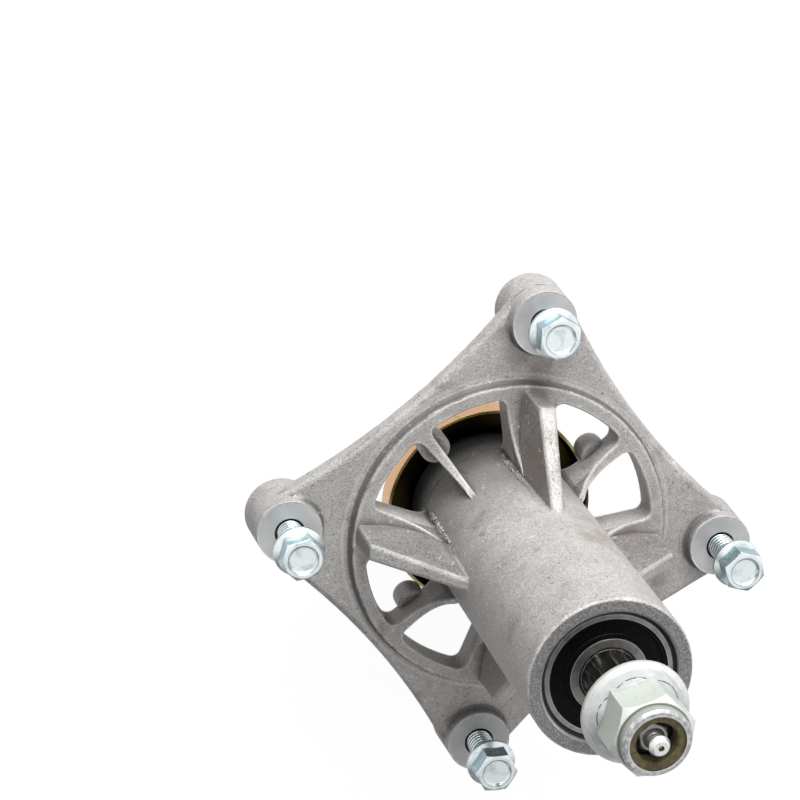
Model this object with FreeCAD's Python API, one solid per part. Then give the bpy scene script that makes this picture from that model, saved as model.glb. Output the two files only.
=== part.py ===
import FreeCAD, Part
import math
import os

# Mower deck spindle. A cast housing carries two sealed ball bearings, and a shaft turns in them.
# Millimetres. +Z runs along the shaft towards the nut. The origin is on the shaft axis, in the plane
# of the four mounting pads that bolt up against the deck.

# Bolt square, pads and ears
BOLT_SPACING = 105.6
PAD_RADIUS = 10.7
EAR_TAPER = 1.1
EAR_DEPTH = 20.2
EAR_FLARE = 1.8
EAR_BACK_ROUND = 2.5
EAR_HOLE_DEPTH = 18.6
HOLE_MOUTH_WIDENING = 1.0

# Plate between the ears
PLATE_DROP = 4.6
PLATE_THICKNESS = 6.0
PLATE_CORNER_MARGIN = 0.3
PLATE_SIDE_DIP = 5.75
PLATE_EDGE_ROUND = 2.0
PLATE_BACK_ROUND = 1.0

# Raised ring with the windows
RING_DROP = 0.6
RING_MARGIN = 4.55
RING_BAND = 4.5
RING_EDGE_ROUND = 0.8
RING_FOOT_ROUND = 2.0
WINDOW_CORNER_ROUND = 3.0
WINDOW_EDGE_ROUND = 0.6

# Gussets towards the ears, on tapered webs
GUSSET_FOOT_WIDTH = 6.8
GUSSET_DRAFT_DEG = 1.7
GUSSET_INSET = 0.9
GUSSET_END_DRAFT_DEG = 3.0
GUSSET_END_HEIGHT = 15.0
GUSSET_TOP_HEIGHT = 39.8
GUSSET_EDGE_ROUND = 1.6
GUSSET_TUBE_ROUND = 1.2
WEB_OUTER_WIDTH = 18.4
WEB_INNER_WIDTH = 6.0
WEB_SWEEP = 19.0
WEB_RISE = 9.0

# Thin spokes between the gussets, each with a round ejector boss
SPOKE_OUTER_WIDTH = 4.4
SPOKE_INNER_WIDTH = 1.8
SPOKE_SWEEP = 16.0
SPOKE_RISE = 7.8
SPOKE_BOSS_RADIUS = 5.0
SPOKE_BOSS_ORBIT = 39.2
SPOKE_BOSS_DROP = 7.4
SPOKE_BOSS_HEIGHT = 8.5
SPOKE_BOSS_ROUND = 1.0

# Where webs and spokes run up and down the tube
RIB_BACK_SWEEP = 8.0
RIB_EDGE_ROUND = 0.5

# Bearing tube
TUBE_ABOVE_PADS = 101.4
TUBE_BELOW_PADS = 32.0
TUBE_WALL = 5.1
TUBE_DRAFT_DEG = 0.5
TUBE_END_ROUND = 0.8
SEAT_SHOULDER = 3.0
SEAT_LEAD_IN = 1.3
BEARING_RECESS = 1.6

# Ball bearings, two alike
BEARING_BORE = 17.0
BEARING_OUTSIDE = 40.0
BEARING_WIDTH = 12.0
BALL_DIAMETER = 6.747
BALL_COUNT = 8
INNER_RING_WALL = 3.2
OUTER_RING_WALL = 3.2
RING_CHAMFER = 0.6
SEAL_SEAT_WIDENING = 1.2
SEAL_THICKNESS = 1.0
SEAL_RECESS = 0.4
CAGE_WIDTH = 8.2
CAGE_WALL = 1.7

# Shaft
SPLINE_LENGTH = 21.4
SPLINE_TEETH = 12
SPLINE_MAJOR_RADIUS = 8.4
SPLINE_TOOTH_DEPTH = 0.9
THREAD_RADIUS = 7.1
THREAD_LENGTH = 13.3
THREAD_CHAMFER = 1.0
FLANGE_RADIUS = 17.0
FLANGE_THICKNESS = 2.6
FLANGE_CHAMFER = 0.8
STAR_POINTS = 5
STAR_OUTER_RADIUS = 12.6
STAR_INNER_RADIUS = 9.4
STAR_LENGTH = 5.5
BLADE_HOLE_RADIUS = 4.25
BLADE_HOLE_DEPTH = 28.0
GREASE_PASSAGE_RADIUS = 1.6
GREASE_HOLE_RADIUS = 2.0
GREASE_HOLE_Z = 40.0

# Sleeve between the inner rings
SLEEVE_WALL = 2.6

# Pressed dust cup on the blade end
CUP_SHEET = 1.0
CUP_TUBE_GAP = 8.6
CUP_OVERLAP = 5.4
CUP_DISH_DEPTH = 6.2
CUP_DISH_RADIUS = 12.6
CUP_DISH_SLOPE = 3.6
CUP_BEND = 2.2

# Lock nut with its plastic insert
NUT_ACROSS_FLATS = 22.2
NUT_TURN_DEG = 36.0
NUT_FLANGE_RADIUS = 15.8
NUT_FLANGE_RIM = 1.7
NUT_FLANGE_CONE = 4.0
NUT_FLANGE_CHAMFER = 0.4
NUT_CONE_TUCK = 1.0
NUT_HEX_TOP = 16.4
NUT_CROWN_HEIGHT = 1.7
NUT_CROWN_INSET = 0.2
NUT_HEIGHT = 19.8
NUT_COLLAR_WALL = 1.7
NUT_COLLAR_CROWN = 1.0
NUT_COLLAR_TAPER = 0.7
NUT_LIP = 0.6
NUT_LIP_OVERHANG = 0.3
INSERT_OUTER_RADIUS = 8.5
INSERT_INNER_RADIUS = 6.0
INSERT_HEIGHT = 4.2
INSERT_CHAMFER = 0.5

# Grease fitting, its ball and its spring
FITTING_STEM_RADIUS = 2.95
FITTING_STEM_LENGTH = 6.4
FITTING_ACROSS_FLATS = 8.0
FITTING_HEX_HEIGHT = 3.0
FITTING_CROWN_HEIGHT = 0.5
FITTING_CROWN_INSET = 0.2
FITTING_NECK_RADIUS = 2.2
FITTING_NECK_FLARE = 1.0
FITTING_NECK_SLOPE = 1.2
FITTING_HEAD_RADIUS = 3.1
FITTING_HEAD_DROP = 2.0
FITTING_HEAD_LAND = 0.5
FITTING_TIP_RADIUS = 2.5
FITTING_TIP_CHAMFER = 0.4
FITTING_HEIGHT = 9.0
FITTING_BORE_RADIUS = 1.35
FITTING_MOUTH_RADIUS = 0.8
FITTING_MOUTH_DEPTH = 0.9
CHECK_BALL_RADIUS = 1.1
SPRING_WIRE_RADIUS = 0.2
SPRING_TURNS = 6
SPRING_SEAT_HEIGHT = 1.5

# Deck bolts
BOLT_SHANK_RADIUS = 3.95
BOLT_LENGTH = 25.4
BOLT_POINT = 1.6
BOLT_FLANGE_RADIUS = 8.25
BOLT_FLANGE_RIM = 1.0
BOLT_FLANGE_CONE = 1.2
BOLT_ACROSS_FLATS = 12.7
BOLT_HEAD_HEIGHT = 8.0
BOLT_CROWN_HEIGHT = 0.6
BOLT_CROWN_INSET = 0.3
BOLT_DISH_RADIUS = 5.0
BOLT_DISH_DEPTH = 0.8
BOLT_STANDOFF = 14.2
BOLT_STANDOFF_DRIVEN = 8.7
BOLT_TURNS_DEG = (20.0, 5.0, 50.0, 35.0)
DRIVEN_EAR_DEG = 225.0

# Clearances
PRESS_GAP = 0.01
SLIDE_GAP = 0.05
BALL_GAP = 0.05
SEAL_GAP = 0.08
POCKET_GAP = 0.15
SLEEVE_GAP = 0.1

# How far joined shapes run into each other, and cutting shapes past a face
JOIN_OVERLAP = 1.0
CUT_MARGIN = 1.0

# Places worked out from the sizes above
half_spacing = BOLT_SPACING / 2
ear_orbit = half_spacing * math.sqrt(2)
plate_corner_radius = PAD_RADIUS + PLATE_CORNER_MARGIN
plate_half_width = half_spacing + plate_corner_radius - PLATE_SIDE_DIP
plate_top = -PLATE_DROP
plate_bottom = plate_top - PLATE_THICKNESS
ring_top = -RING_DROP
ring_bottom = plate_bottom
ring_radius = plate_half_width - RING_MARGIN
window_radius = ring_radius - RING_BAND
seat_radius = BEARING_OUTSIDE / 2
bore_radius = seat_radius - SEAT_SHOULDER
tube_top = TUBE_ABOVE_PADS
tube_bottom = -TUBE_BELOW_PADS
tube_top_radius = seat_radius + TUBE_WALL
tube_base_radius = tube_top_radius + (tube_top - ring_top) * math.tan(math.radians(TUBE_DRAFT_DEG))
upper_bearing_z = tube_top - BEARING_RECESS - BEARING_WIDTH
lower_bearing_z = tube_bottom + BEARING_RECESS
ball_radius = BALL_DIAMETER / 2
ball_orbit = (BEARING_BORE + BEARING_OUTSIDE) / 4
inner_ring_radius = BEARING_BORE / 2 + INNER_RING_WALL
outer_ring_inside = seat_radius - OUTER_RING_WALL
seal_seat_radius = outer_ring_inside + SEAL_SEAT_WIDENING
seal_seat_depth = SEAL_RECESS + SEAL_THICKNESS
shaft_radius = BEARING_BORE / 2 - PRESS_GAP
cup_dish_top = lower_bearing_z
cup_floor_top = cup_dish_top - CUP_DISH_DEPTH
cup_floor_bottom = cup_floor_top - CUP_SHEET
cup_inner_radius = tube_base_radius + CUP_TUBE_GAP
cup_outer_radius = cup_inner_radius + CUP_SHEET
cup_rim = tube_bottom + CUP_OVERLAP
hub_radius = CUP_DISH_RADIUS - CUP_SHEET / 2 - SLEEVE_GAP
flange_bottom = cup_floor_bottom - FLANGE_THICKNESS
shaft_bottom = flange_bottom - STAR_LENGTH
spline_bottom = upper_bearing_z + BEARING_WIDTH
spline_top = spline_bottom + SPLINE_LENGTH
shaft_top = spline_top + THREAD_LENGTH
fitting_tip = shaft_top + FITTING_HEIGHT
ball_seat_z = fitting_tip - FITTING_MOUTH_DEPTH
ball_rise = math.sqrt(CHECK_BALL_RADIUS ** 2 - FITTING_MOUTH_RADIUS ** 2)
check_ball_z = ball_seat_z - ball_rise - SLIDE_GAP
stem_bottom = shaft_top - FITTING_STEM_LENGTH
ear_hole_radius = BOLT_SHANK_RADIUS + SLIDE_GAP

AXIS = FreeCAD.Vector(0, 0, 1)
CENTRE = FreeCAD.Vector(0, 0, 0)


def at(x, y, z):
    return FreeCAD.Vector(x, y, z)


def tube(inner_radius, outer_radius, bottom, top):
    """Round ring between two heights."""
    outer = Part.makeCylinder(outer_radius, top - bottom, at(0, 0, bottom))
    return outer.cut(Part.makeCylinder(inner_radius, top - bottom, at(0, 0, bottom)))


def turned(profile):
    """Solid of revolution about Z from a closed list of (radius, height) points."""
    corners = [at(r, 0, z) for r, z in profile]
    face = Part.Face(Part.makePolygon(corners + corners[:1]))
    return face.revolve(CENTRE, AXIS, 360)


def hexagon(across_flats, bottom, top, turn_deg):
    corner_radius = across_flats / math.sqrt(3)
    corners = []
    for i in range(7):
        angle = math.radians(60 * i + turn_deg)
        corners.append(at(corner_radius * math.cos(angle), corner_radius * math.sin(angle), bottom))
    return Part.Face(Part.makePolygon(corners)).extrude(at(0, 0, top - bottom))


def crowned_hexagon(across_flats, bottom, top, crown_height, crown_inset, turn_deg):
    """Hexagon whose upper corners are turned off to a cone."""
    corner_radius = across_flats / math.sqrt(3)
    crown = turned([
        (0, bottom),
        (corner_radius, bottom),
        (corner_radius, top - crown_height),
        (across_flats / 2 - crown_inset, top),
        (0, top),
    ])
    return hexagon(across_flats, bottom, top, turn_deg).common(crown)


def star(points, outer_radius, inner_radius, bottom, top):
    corners = []
    for i in range(2 * points + 1):
        radius = outer_radius if i % 2 == 0 else inner_radius
        angle = math.pi * i / points
        corners.append(at(radius * math.cos(angle), radius * math.sin(angle), bottom))
    return Part.Face(Part.makePolygon(corners)).extrude(at(0, 0, top - bottom))


def turned_about_axis(shape, angle_deg):
    copy = shape.copy()
    copy.rotate(CENTRE, AXIS, angle_deg)
    return copy


def shifted(shape, x, y, z):
    copy = shape.copy()
    copy.translate(at(x, y, z))
    return copy


def rounded(shape, radius, chosen):
    """Rounds the edges of a shape that pass the test."""
    return shape.makeFillet(radius, [edge for edge in shape.Edges if chosen(edge)])


def flat_at(edge, z):
    box = edge.BoundBox
    return abs(box.ZMin - z) < 1e-4 and abs(box.ZMax - z) < 1e-4


def ear_angles():
    return [45 + 90 * k for k in range(4)]


def spoke_angles():
    return [90 * k for k in range(4)]


def tube_radius_at(z):
    return tube_top_radius + (tube_top - z) * math.tan(math.radians(TUBE_DRAFT_DEG))


# Housing


def plate_prism(inset, bottom, top):
    """Square plate outline: four round corners joined by shallow hollow sides, drawn in by an inset."""
    dip = plate_half_width - half_spacing
    reach = half_spacing ** 2 + dip ** 2 - plate_corner_radius ** 2
    side_radius = reach / (2 * (plate_corner_radius - dip))
    ear = at(half_spacing, half_spacing, bottom)
    side_centre = at(0, plate_half_width + side_radius, bottom)
    towards_side = (side_centre - ear).normalize()
    corner_end = ear + towards_side * (plate_corner_radius - inset)
    corner_start = at(corner_end.y, corner_end.x, bottom)
    outward = at(1, 1, 0).normalize()
    corner_middle = ear + outward * (plate_corner_radius - inset)
    side_middle = at(0, plate_half_width - inset, bottom)
    side_end = at(-corner_end.x, corner_end.y, bottom)
    corner = Part.Arc(corner_start, corner_middle, corner_end).toShape()
    side = Part.Arc(corner_end, side_middle, side_end).toShape()
    edges = []
    for k in range(4):
        edges.append(turned_about_axis(corner, 90 * k))
        edges.append(turned_about_axis(side, 90 * k))
    return Part.Face(Part.Wire(edges)).extrude(at(0, 0, top - bottom))


def ear_flare():
    """Hollow fillet round the foot of one ear."""
    foot = PAD_RADIUS
    start = at(foot, 0, plate_top + EAR_FLARE)
    end = at(foot + EAR_FLARE, 0, plate_top)
    bow = EAR_FLARE * (1 - math.sqrt(0.5))
    middle = at(foot + bow, 0, plate_top + bow)
    edges = [
        Part.Arc(start, middle, end).toShape(),
        Part.makeLine(end, at(0, 0, plate_top)),
        Part.makeLine(at(0, 0, plate_top), at(0, 0, plate_top + EAR_FLARE)),
        Part.makeLine(at(0, 0, plate_top + EAR_FLARE), start),
    ]
    return Part.Face(Part.Wire(edges)).revolve(CENTRE, AXIS, 360)


def taper(outer_width, inner_width):
    """Half width of a web or spoke on the axis, and what it gains for each millimetre outwards."""
    spread = (outer_width - inner_width) / 2 / (window_radius - tube_base_radius)
    return inner_width / 2 - spread * tube_base_radius, spread


def taper_end(start, spread):
    """How far out the side of a web or spoke meets the outer arc of the window."""
    square = 1 + spread ** 2
    return (math.sqrt(square * window_radius ** 2 - start ** 2) - spread * start) / square


def window_prism():
    """Window between the gusset web along +X and the spoke at 45 degrees."""
    inside = tube_base_radius - TUBE_WALL / 2
    bottom = ring_bottom - CUT_MARGIN
    height = ring_top - ring_bottom + 2 * CUT_MARGIN
    lift = at(0, 0, bottom)
    along = at(1, 1, 0).normalize()
    aside = at(1, -1, 0).normalize()
    web_start, web_spread = taper(WEB_OUTER_WIDTH, WEB_INNER_WIDTH)
    spoke_start, spoke_spread = taper(SPOKE_OUTER_WIDTH, SPOKE_INNER_WIDTH)

    def web_side(reach):
        return at(reach, web_start + web_spread * reach, bottom)

    def spoke_side(reach):
        return lift + along * reach + aside * (spoke_start + spoke_spread * reach)

    web_outer = web_side(taper_end(web_start, web_spread))
    web_inner = web_side(inside)
    spoke_outer = spoke_side(taper_end(spoke_start, spoke_spread))
    spoke_inner = spoke_side(inside)
    towards_rim = at(web_outer.x + spoke_outer.x, web_outer.y + spoke_outer.y, 0).normalize()
    rim_middle = lift + towards_rim * window_radius

    edges = [
        Part.makeLine(web_inner, web_outer),
        Part.Arc(web_outer, rim_middle, spoke_outer).toShape(),
        Part.makeLine(spoke_outer, spoke_inner),
        Part.makeLine(spoke_inner, web_inner),
    ]
    prism = Part.Face(Part.Wire(edges)).extrude(at(0, 0, height))

    def outer_corner(edge):
        middle = edge.CenterOfMass
        upright = edge.BoundBox.ZLength > height - 1e-4
        return upright and math.hypot(middle.x, middle.y) > window_radius - RING_BAND

    return rounded(prism, WINDOW_CORNER_ROUND, outer_corner)


def gusset():
    """Gusset along +X with drafted sides, a sloping ridge and a steep outer end."""
    inside = tube_top_radius - TUBE_WALL / 2
    foot = ring_top - JOIN_OVERLAP
    end_top = ring_top + GUSSET_END_HEIGHT
    end_foot_x = ring_radius - GUSSET_INSET
    end_top_x = end_foot_x - GUSSET_END_HEIGHT * math.tan(math.radians(GUSSET_END_DRAFT_DEG))
    ridge_z = ring_top + GUSSET_TOP_HEIGHT
    slope = (ridge_z - end_top) / (end_top_x - tube_radius_at(ridge_z))
    ridge_inside_z = end_top + slope * (end_top_x - inside)

    side = [
        at(inside, 0, foot),
        at(end_foot_x, 0, foot),
        at(end_foot_x, 0, ring_top),
        at(end_top_x, 0, end_top),
        at(inside, 0, ridge_inside_z),
    ]
    side_face = Part.Face(Part.makePolygon(side + side[:1]))
    depth = GUSSET_FOOT_WIDTH
    side_solid = shifted(side_face.extrude(at(0, 2 * depth, 0)), 0, -depth, 0)

    def half_width(z):
        return GUSSET_FOOT_WIDTH / 2 - (z - ring_top) * math.tan(math.radians(GUSSET_DRAFT_DEG))

    section = [
        at(inside, -half_width(foot), foot),
        at(inside, half_width(foot), foot),
        at(inside, half_width(ridge_inside_z), ridge_inside_z),
        at(inside, -half_width(ridge_inside_z), ridge_inside_z),
    ]
    section_face = Part.Face(Part.makePolygon(section + section[:1]))
    solid = section_face.extrude(at(end_foot_x - inside, 0, 0)).common(side_solid)

    def outer_edge(edge):
        box = edge.BoundBox
        on_end = box.XMin > end_top_x - 1e-3 and box.ZMin > ring_top - 1e-3 and box.ZLength > JOIN_OVERLAP
        on_ridge = box.ZMin > end_top - 1e-3 and box.XMax > inside + JOIN_OVERLAP
        return on_end or on_ridge

    return rounded(solid, GUSSET_EDGE_ROUND, outer_edge)


def sweep_reach(radius, height):
    """How far a hollow quarter curve stands off the tube at a height above its foot."""
    return radius - math.sqrt(radius ** 2 - (radius - height) ** 2)


def swept_rib(outer_width, inner_width, sweep, rise):
    """Tapered rib along +X: one hollow curve up the tube in front, another down it behind."""
    inside = tube_top_radius - TUBE_WALL / 2

    def front(height):
        return at(tube_base_radius + sweep_reach(sweep, height), 0, ring_top + height)

    def back(depth):
        return at(tube_base_radius + sweep_reach(RIB_BACK_SWEEP, depth), 0, ring_bottom - depth)

    foot = front(0)
    tip = front(rise)
    corners = [
        tip,
        at(inside, 0, tip.z + tip.x - inside),
        at(inside, 0, ring_bottom - RIB_BACK_SWEEP),
        back(RIB_BACK_SWEEP),
    ]
    edges = [Part.Arc(foot, front(rise / 4), tip).toShape()]
    edges += [Part.makeLine(corners[i], corners[i + 1]) for i in range(3)]
    edges += [
        Part.Arc(corners[3], back(RIB_BACK_SWEEP / 4), back(0)).toShape(),
        Part.makeLine(back(0), at(foot.x, 0, ring_bottom)),
        Part.makeLine(at(foot.x, 0, ring_bottom), foot),
    ]
    slab = Part.Face(Part.Wire(edges)).extrude(at(0, outer_width, 0))

    start, spread = taper(outer_width, inner_width)
    near = start + spread * inside
    far = start + spread * foot.x
    low = corners[2].z
    plan = [at(inside, -near, low), at(foot.x, -far, low), at(foot.x, far, low), at(inside, near, low)]
    plan_solid = Part.Face(Part.makePolygon(plan + plan[:1])).extrude(at(0, 0, corners[1].z - low))
    rib = shifted(slab, 0, -outer_width / 2, 0).common(plan_solid)

    def front_edge(edge):
        box = edge.BoundBox
        in_front = box.ZMin > ring_top - 1e-4 and box.ZMax < tip.z + 1e-4
        return in_front and box.ZLength > 1e-3 and box.XLength > 1e-3

    return rounded(rib, RIB_EDGE_ROUND, front_edge)


def spoke_boss():
    """Round ejector boss on the spoke along +X, rounded in front and proud of the ring behind."""
    top = ring_top - SPOKE_BOSS_DROP
    foot = at(SPOKE_BOSS_ORBIT, 0, top - SPOKE_BOSS_HEIGHT)
    boss = Part.makeCylinder(SPOKE_BOSS_RADIUS, SPOKE_BOSS_HEIGHT, foot)
    return rounded(boss, SPOKE_BOSS_ROUND, lambda edge: flat_at(edge, top))


def tube_with_gussets():
    """Tapered tube with the four gussets blended into it."""
    upper = Part.makeCone(tube_radius_at(ring_top), tube_top_radius, tube_top - ring_top, at(0, 0, ring_top))
    upper = rounded(upper, TUBE_END_ROUND, lambda edge: flat_at(edge, tube_top))
    lower = Part.makeCylinder(tube_base_radius, ring_top - tube_bottom, at(0, 0, tube_bottom))
    lower = rounded(lower, TUBE_END_ROUND, lambda edge: flat_at(edge, tube_bottom))
    gussets = [turned_about_axis(gusset(), angle) for angle in ear_angles()]
    body = upper.fuse(gussets).fuse(lower).removeSplitter()

    def blend_edge(edge):
        box = edge.BoundBox
        middle = edge.valueAt((edge.FirstParameter + edge.LastParameter) / 2)
        on_tube = abs(math.hypot(middle.x, middle.y) - tube_radius_at(middle.z)) < 1e-3
        on_seam = abs(middle.y) < 1e-3
        inside_span = box.ZMin > ring_top - 1e-3 and box.ZMax < tube_top - GUSSET_TUBE_ROUND
        return on_tube and inside_span and box.ZLength > 1e-3 and not on_seam

    return rounded(body, GUSSET_TUBE_ROUND, blend_edge)


def base_casting():
    """Plate, ears and ring, with the windows cut."""
    plate = plate_prism(0, plate_bottom, plate_top)
    plate = rounded(plate, PLATE_EDGE_ROUND, lambda edge: flat_at(edge, plate_top))
    plate = rounded(plate, PLATE_BACK_ROUND, lambda edge: flat_at(edge, plate_bottom))
    ring = Part.makeCylinder(ring_radius, ring_top - ring_bottom, at(0, 0, ring_bottom))
    ring = rounded(ring, RING_EDGE_ROUND, lambda edge: flat_at(edge, ring_top))
    body = plate.fuse(ring)
    foot_round = min(RING_FOOT_ROUND, RING_MARGIN - PLATE_EDGE_ROUND)

    def ring_foot(edge):
        middle = edge.valueAt((edge.FirstParameter + edge.LastParameter) / 2)
        return flat_at(edge, plate_top) and abs(math.hypot(middle.x, middle.y) - ring_radius) < 1e-3

    body = rounded(body, foot_round, ring_foot)

    flat_plate = plate_prism(PLATE_EDGE_ROUND, plate_top, plate_top + EAR_FLARE)
    ear = Part.makeCone(PAD_RADIUS + EAR_TAPER, PAD_RADIUS, EAR_DEPTH, at(0, 0, -EAR_DEPTH))
    ear = rounded(ear, EAR_BACK_ROUND, lambda edge: flat_at(edge, -EAR_DEPTH))
    for angle in ear_angles():
        x = ear_orbit * math.cos(math.radians(angle))
        y = ear_orbit * math.sin(math.radians(angle))
        body = body.fuse(shifted(ear, x, y, 0))
        body = body.fuse(shifted(ear_flare(), x, y, 0).common(flat_plate))

    first = window_prism()
    second = first.mirror(CENTRE, at(0, 1, 0))
    for angle in ear_angles():
        body = body.cut(turned_about_axis(first, angle))
        body = body.cut(turned_about_axis(second, angle))

    def window_edge(edge):
        middle = edge.valueAt((edge.FirstParameter + edge.LastParameter) / 2)
        return flat_at(edge, ring_top) and math.hypot(middle.x, middle.y) < window_radius + RING_BAND / 2

    return rounded(body, WINDOW_EDGE_ROUND, window_edge)


def ear_hole():
    """Blind bolt hole with a widened mouth, for an ear at the origin."""
    hole = Part.makeCylinder(ear_hole_radius, EAR_HOLE_DEPTH, at(0, 0, -EAR_HOLE_DEPTH))
    mouth_radius = ear_hole_radius + HOLE_MOUTH_WIDENING
    foot = at(0, 0, -HOLE_MOUTH_WIDENING)
    mouth = Part.makeCone(ear_hole_radius, mouth_radius, HOLE_MOUTH_WIDENING, foot)
    return hole.fuse(mouth)


def bearing_bore():
    """Bore through the tube with a seat and a lead-in at each end."""
    seat_depth = BEARING_RECESS + BEARING_WIDTH
    lead_radius = seat_radius + SEAT_LEAD_IN
    profile = [
        (0, tube_bottom),
        (lead_radius, tube_bottom),
        (seat_radius, tube_bottom + SEAT_LEAD_IN),
        (seat_radius, tube_bottom + seat_depth),
        (bore_radius, tube_bottom + seat_depth),
        (bore_radius, tube_top - seat_depth),
        (seat_radius, tube_top - seat_depth),
        (seat_radius, tube_top - SEAT_LEAD_IN),
        (lead_radius, tube_top),
        (0, tube_top),
    ]
    return turned(profile)


def housing():
    body = base_casting().fuse(tube_with_gussets())
    spoke = swept_rib(SPOKE_OUTER_WIDTH, SPOKE_INNER_WIDTH, SPOKE_SWEEP, SPOKE_RISE)
    web = swept_rib(WEB_OUTER_WIDTH, WEB_INNER_WIDTH, WEB_SWEEP, WEB_RISE)
    for angle in spoke_angles():
        body = body.fuse(turned_about_axis(spoke, angle))
        body = body.fuse(turned_about_axis(spoke_boss(), angle))
    for angle in ear_angles():
        body = body.fuse(turned_about_axis(web, angle))
    body = body.cut(bearing_bore())
    for angle in ear_angles():
        x = ear_orbit * math.cos(math.radians(angle))
        y = ear_orbit * math.sin(math.radians(angle))
        body = body.cut(shifted(ear_hole(), x, y, 0))
    return body.removeSplitter()


# Ball bearing, standing on z = 0


def raceway():
    return Part.makeTorus(ball_orbit, ball_radius + BALL_GAP, at(0, 0, BEARING_WIDTH / 2))


def outer_ring():
    outside = seat_radius - PRESS_GAP
    top = BEARING_WIDTH
    profile = [
        (seal_seat_radius, 0),
        (outside - RING_CHAMFER, 0),
        (outside, RING_CHAMFER),
        (outside, top - RING_CHAMFER),
        (outside - RING_CHAMFER, top),
        (seal_seat_radius, top),
        (seal_seat_radius, top - seal_seat_depth),
        (outer_ring_inside, top - seal_seat_depth),
        (outer_ring_inside, seal_seat_depth),
        (seal_seat_radius, seal_seat_depth),
    ]
    return turned(profile).cut(raceway())


def inner_ring():
    bore = BEARING_BORE / 2
    top = BEARING_WIDTH
    profile = [
        (bore + RING_CHAMFER, 0),
        (inner_ring_radius, 0),
        (inner_ring_radius, top),
        (bore + RING_CHAMFER, top),
        (bore, top - RING_CHAMFER),
        (bore, RING_CHAMFER),
    ]
    return turned(profile).cut(raceway())


def ball_places():
    places = []
    for i in range(BALL_COUNT):
        angle = 2 * math.pi * i / BALL_COUNT
        places.append(at(ball_orbit * math.cos(angle), ball_orbit * math.sin(angle), BEARING_WIDTH / 2))
    return places


def balls():
    return Part.makeCompound([Part.makeSphere(ball_radius, place) for place in ball_places()])


def cage():
    middle = BEARING_WIDTH / 2
    inside = ball_orbit - CAGE_WALL / 2
    body = tube(inside, inside + CAGE_WALL, middle - CAGE_WIDTH / 2, middle + CAGE_WIDTH / 2)
    pocket_radius = ball_radius + POCKET_GAP
    outward = [at(place.x, place.y, 0).normalize() for place in ball_places()]
    starts = [direction * (inside - CUT_MARGIN) + at(0, 0, middle) for direction in outward]
    reach = CAGE_WALL + 2 * CUT_MARGIN
    pockets = [Part.makeCylinder(pocket_radius, reach, start, way) for start, way in zip(starts, outward)]
    return body.cut(pockets)


def seal():
    """Shield with a thicker lip at the inner ring, outer face upwards, standing on z = 0."""
    outside = seal_seat_radius - PRESS_GAP
    inside = inner_ring_radius + SEAL_GAP
    lip = (outside - inside) / 5
    dip = SEAL_THICKNESS / 4
    profile = [
        (inside, 0),
        (outside, 0),
        (outside, SEAL_THICKNESS),
        (outside - lip, SEAL_THICKNESS),
        (outside - lip - dip, SEAL_THICKNESS - dip),
        (inside + lip + dip, SEAL_THICKNESS - dip),
        (inside + lip, SEAL_THICKNESS),
        (inside, SEAL_THICKNESS),
    ]
    return turned(profile)


def top_seal():
    return shifted(seal(), 0, 0, BEARING_WIDTH - seal_seat_depth)


def bottom_seal():
    flipped = seal().mirror(CENTRE, AXIS)
    return shifted(flipped, 0, 0, seal_seat_depth)


# Shaft and what turns with it


def shaft():
    blade_star = star(STAR_POINTS, STAR_OUTER_RADIUS, STAR_INNER_RADIUS, shaft_bottom, flange_bottom)
    dish_underside = cup_dish_top - CUP_SHEET
    core = turned([
        (0, flange_bottom),
        (FLANGE_RADIUS - FLANGE_CHAMFER, flange_bottom),
        (FLANGE_RADIUS, flange_bottom + FLANGE_CHAMFER),
        (FLANGE_RADIUS, cup_floor_bottom),
        (hub_radius, cup_floor_bottom),
        (hub_radius, dish_underside),
        (shaft_radius, dish_underside),
        (shaft_radius, spline_bottom),
        (THREAD_RADIUS, spline_bottom),
        (THREAD_RADIUS, shaft_top - THREAD_CHAMFER),
        (THREAD_RADIUS - THREAD_CHAMFER, shaft_top),
        (0, shaft_top),
    ])
    root_radius = SPLINE_MAJOR_RADIUS - SPLINE_TOOTH_DEPTH
    spline = star(SPLINE_TEETH, SPLINE_MAJOR_RADIUS, root_radius, spline_bottom, spline_top)
    body = core.fuse(blade_star).fuse(spline)

    blade_hole = Part.makeCylinder(BLADE_HOLE_RADIUS, BLADE_HOLE_DEPTH, at(0, 0, shaft_bottom))
    socket_radius = FITTING_STEM_RADIUS + PRESS_GAP
    socket = Part.makeCylinder(socket_radius, FITTING_STEM_LENGTH, at(0, 0, stem_bottom))
    passage_length = stem_bottom - GREASE_HOLE_Z
    passage = Part.makeCylinder(GREASE_PASSAGE_RADIUS, passage_length, at(0, 0, GREASE_HOLE_Z))
    return body.cut([blade_hole, socket, passage, grease_hole(shaft_radius)]).removeSplitter()


def grease_hole(reach):
    """Cross drilling that lets grease out towards the bearings."""
    half_length = reach + CUT_MARGIN
    start = at(-half_length, 0, GREASE_HOLE_Z)
    return Part.makeCylinder(GREASE_HOLE_RADIUS, 2 * half_length, start, at(1, 0, 0))


def spacer_sleeve():
    inside = shaft_radius + SLEEVE_GAP
    outside = inside + SLEEVE_WALL
    body = tube(inside, outside, lower_bearing_z + BEARING_WIDTH, upper_bearing_z)
    return body.cut(grease_hole(outside))


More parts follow.
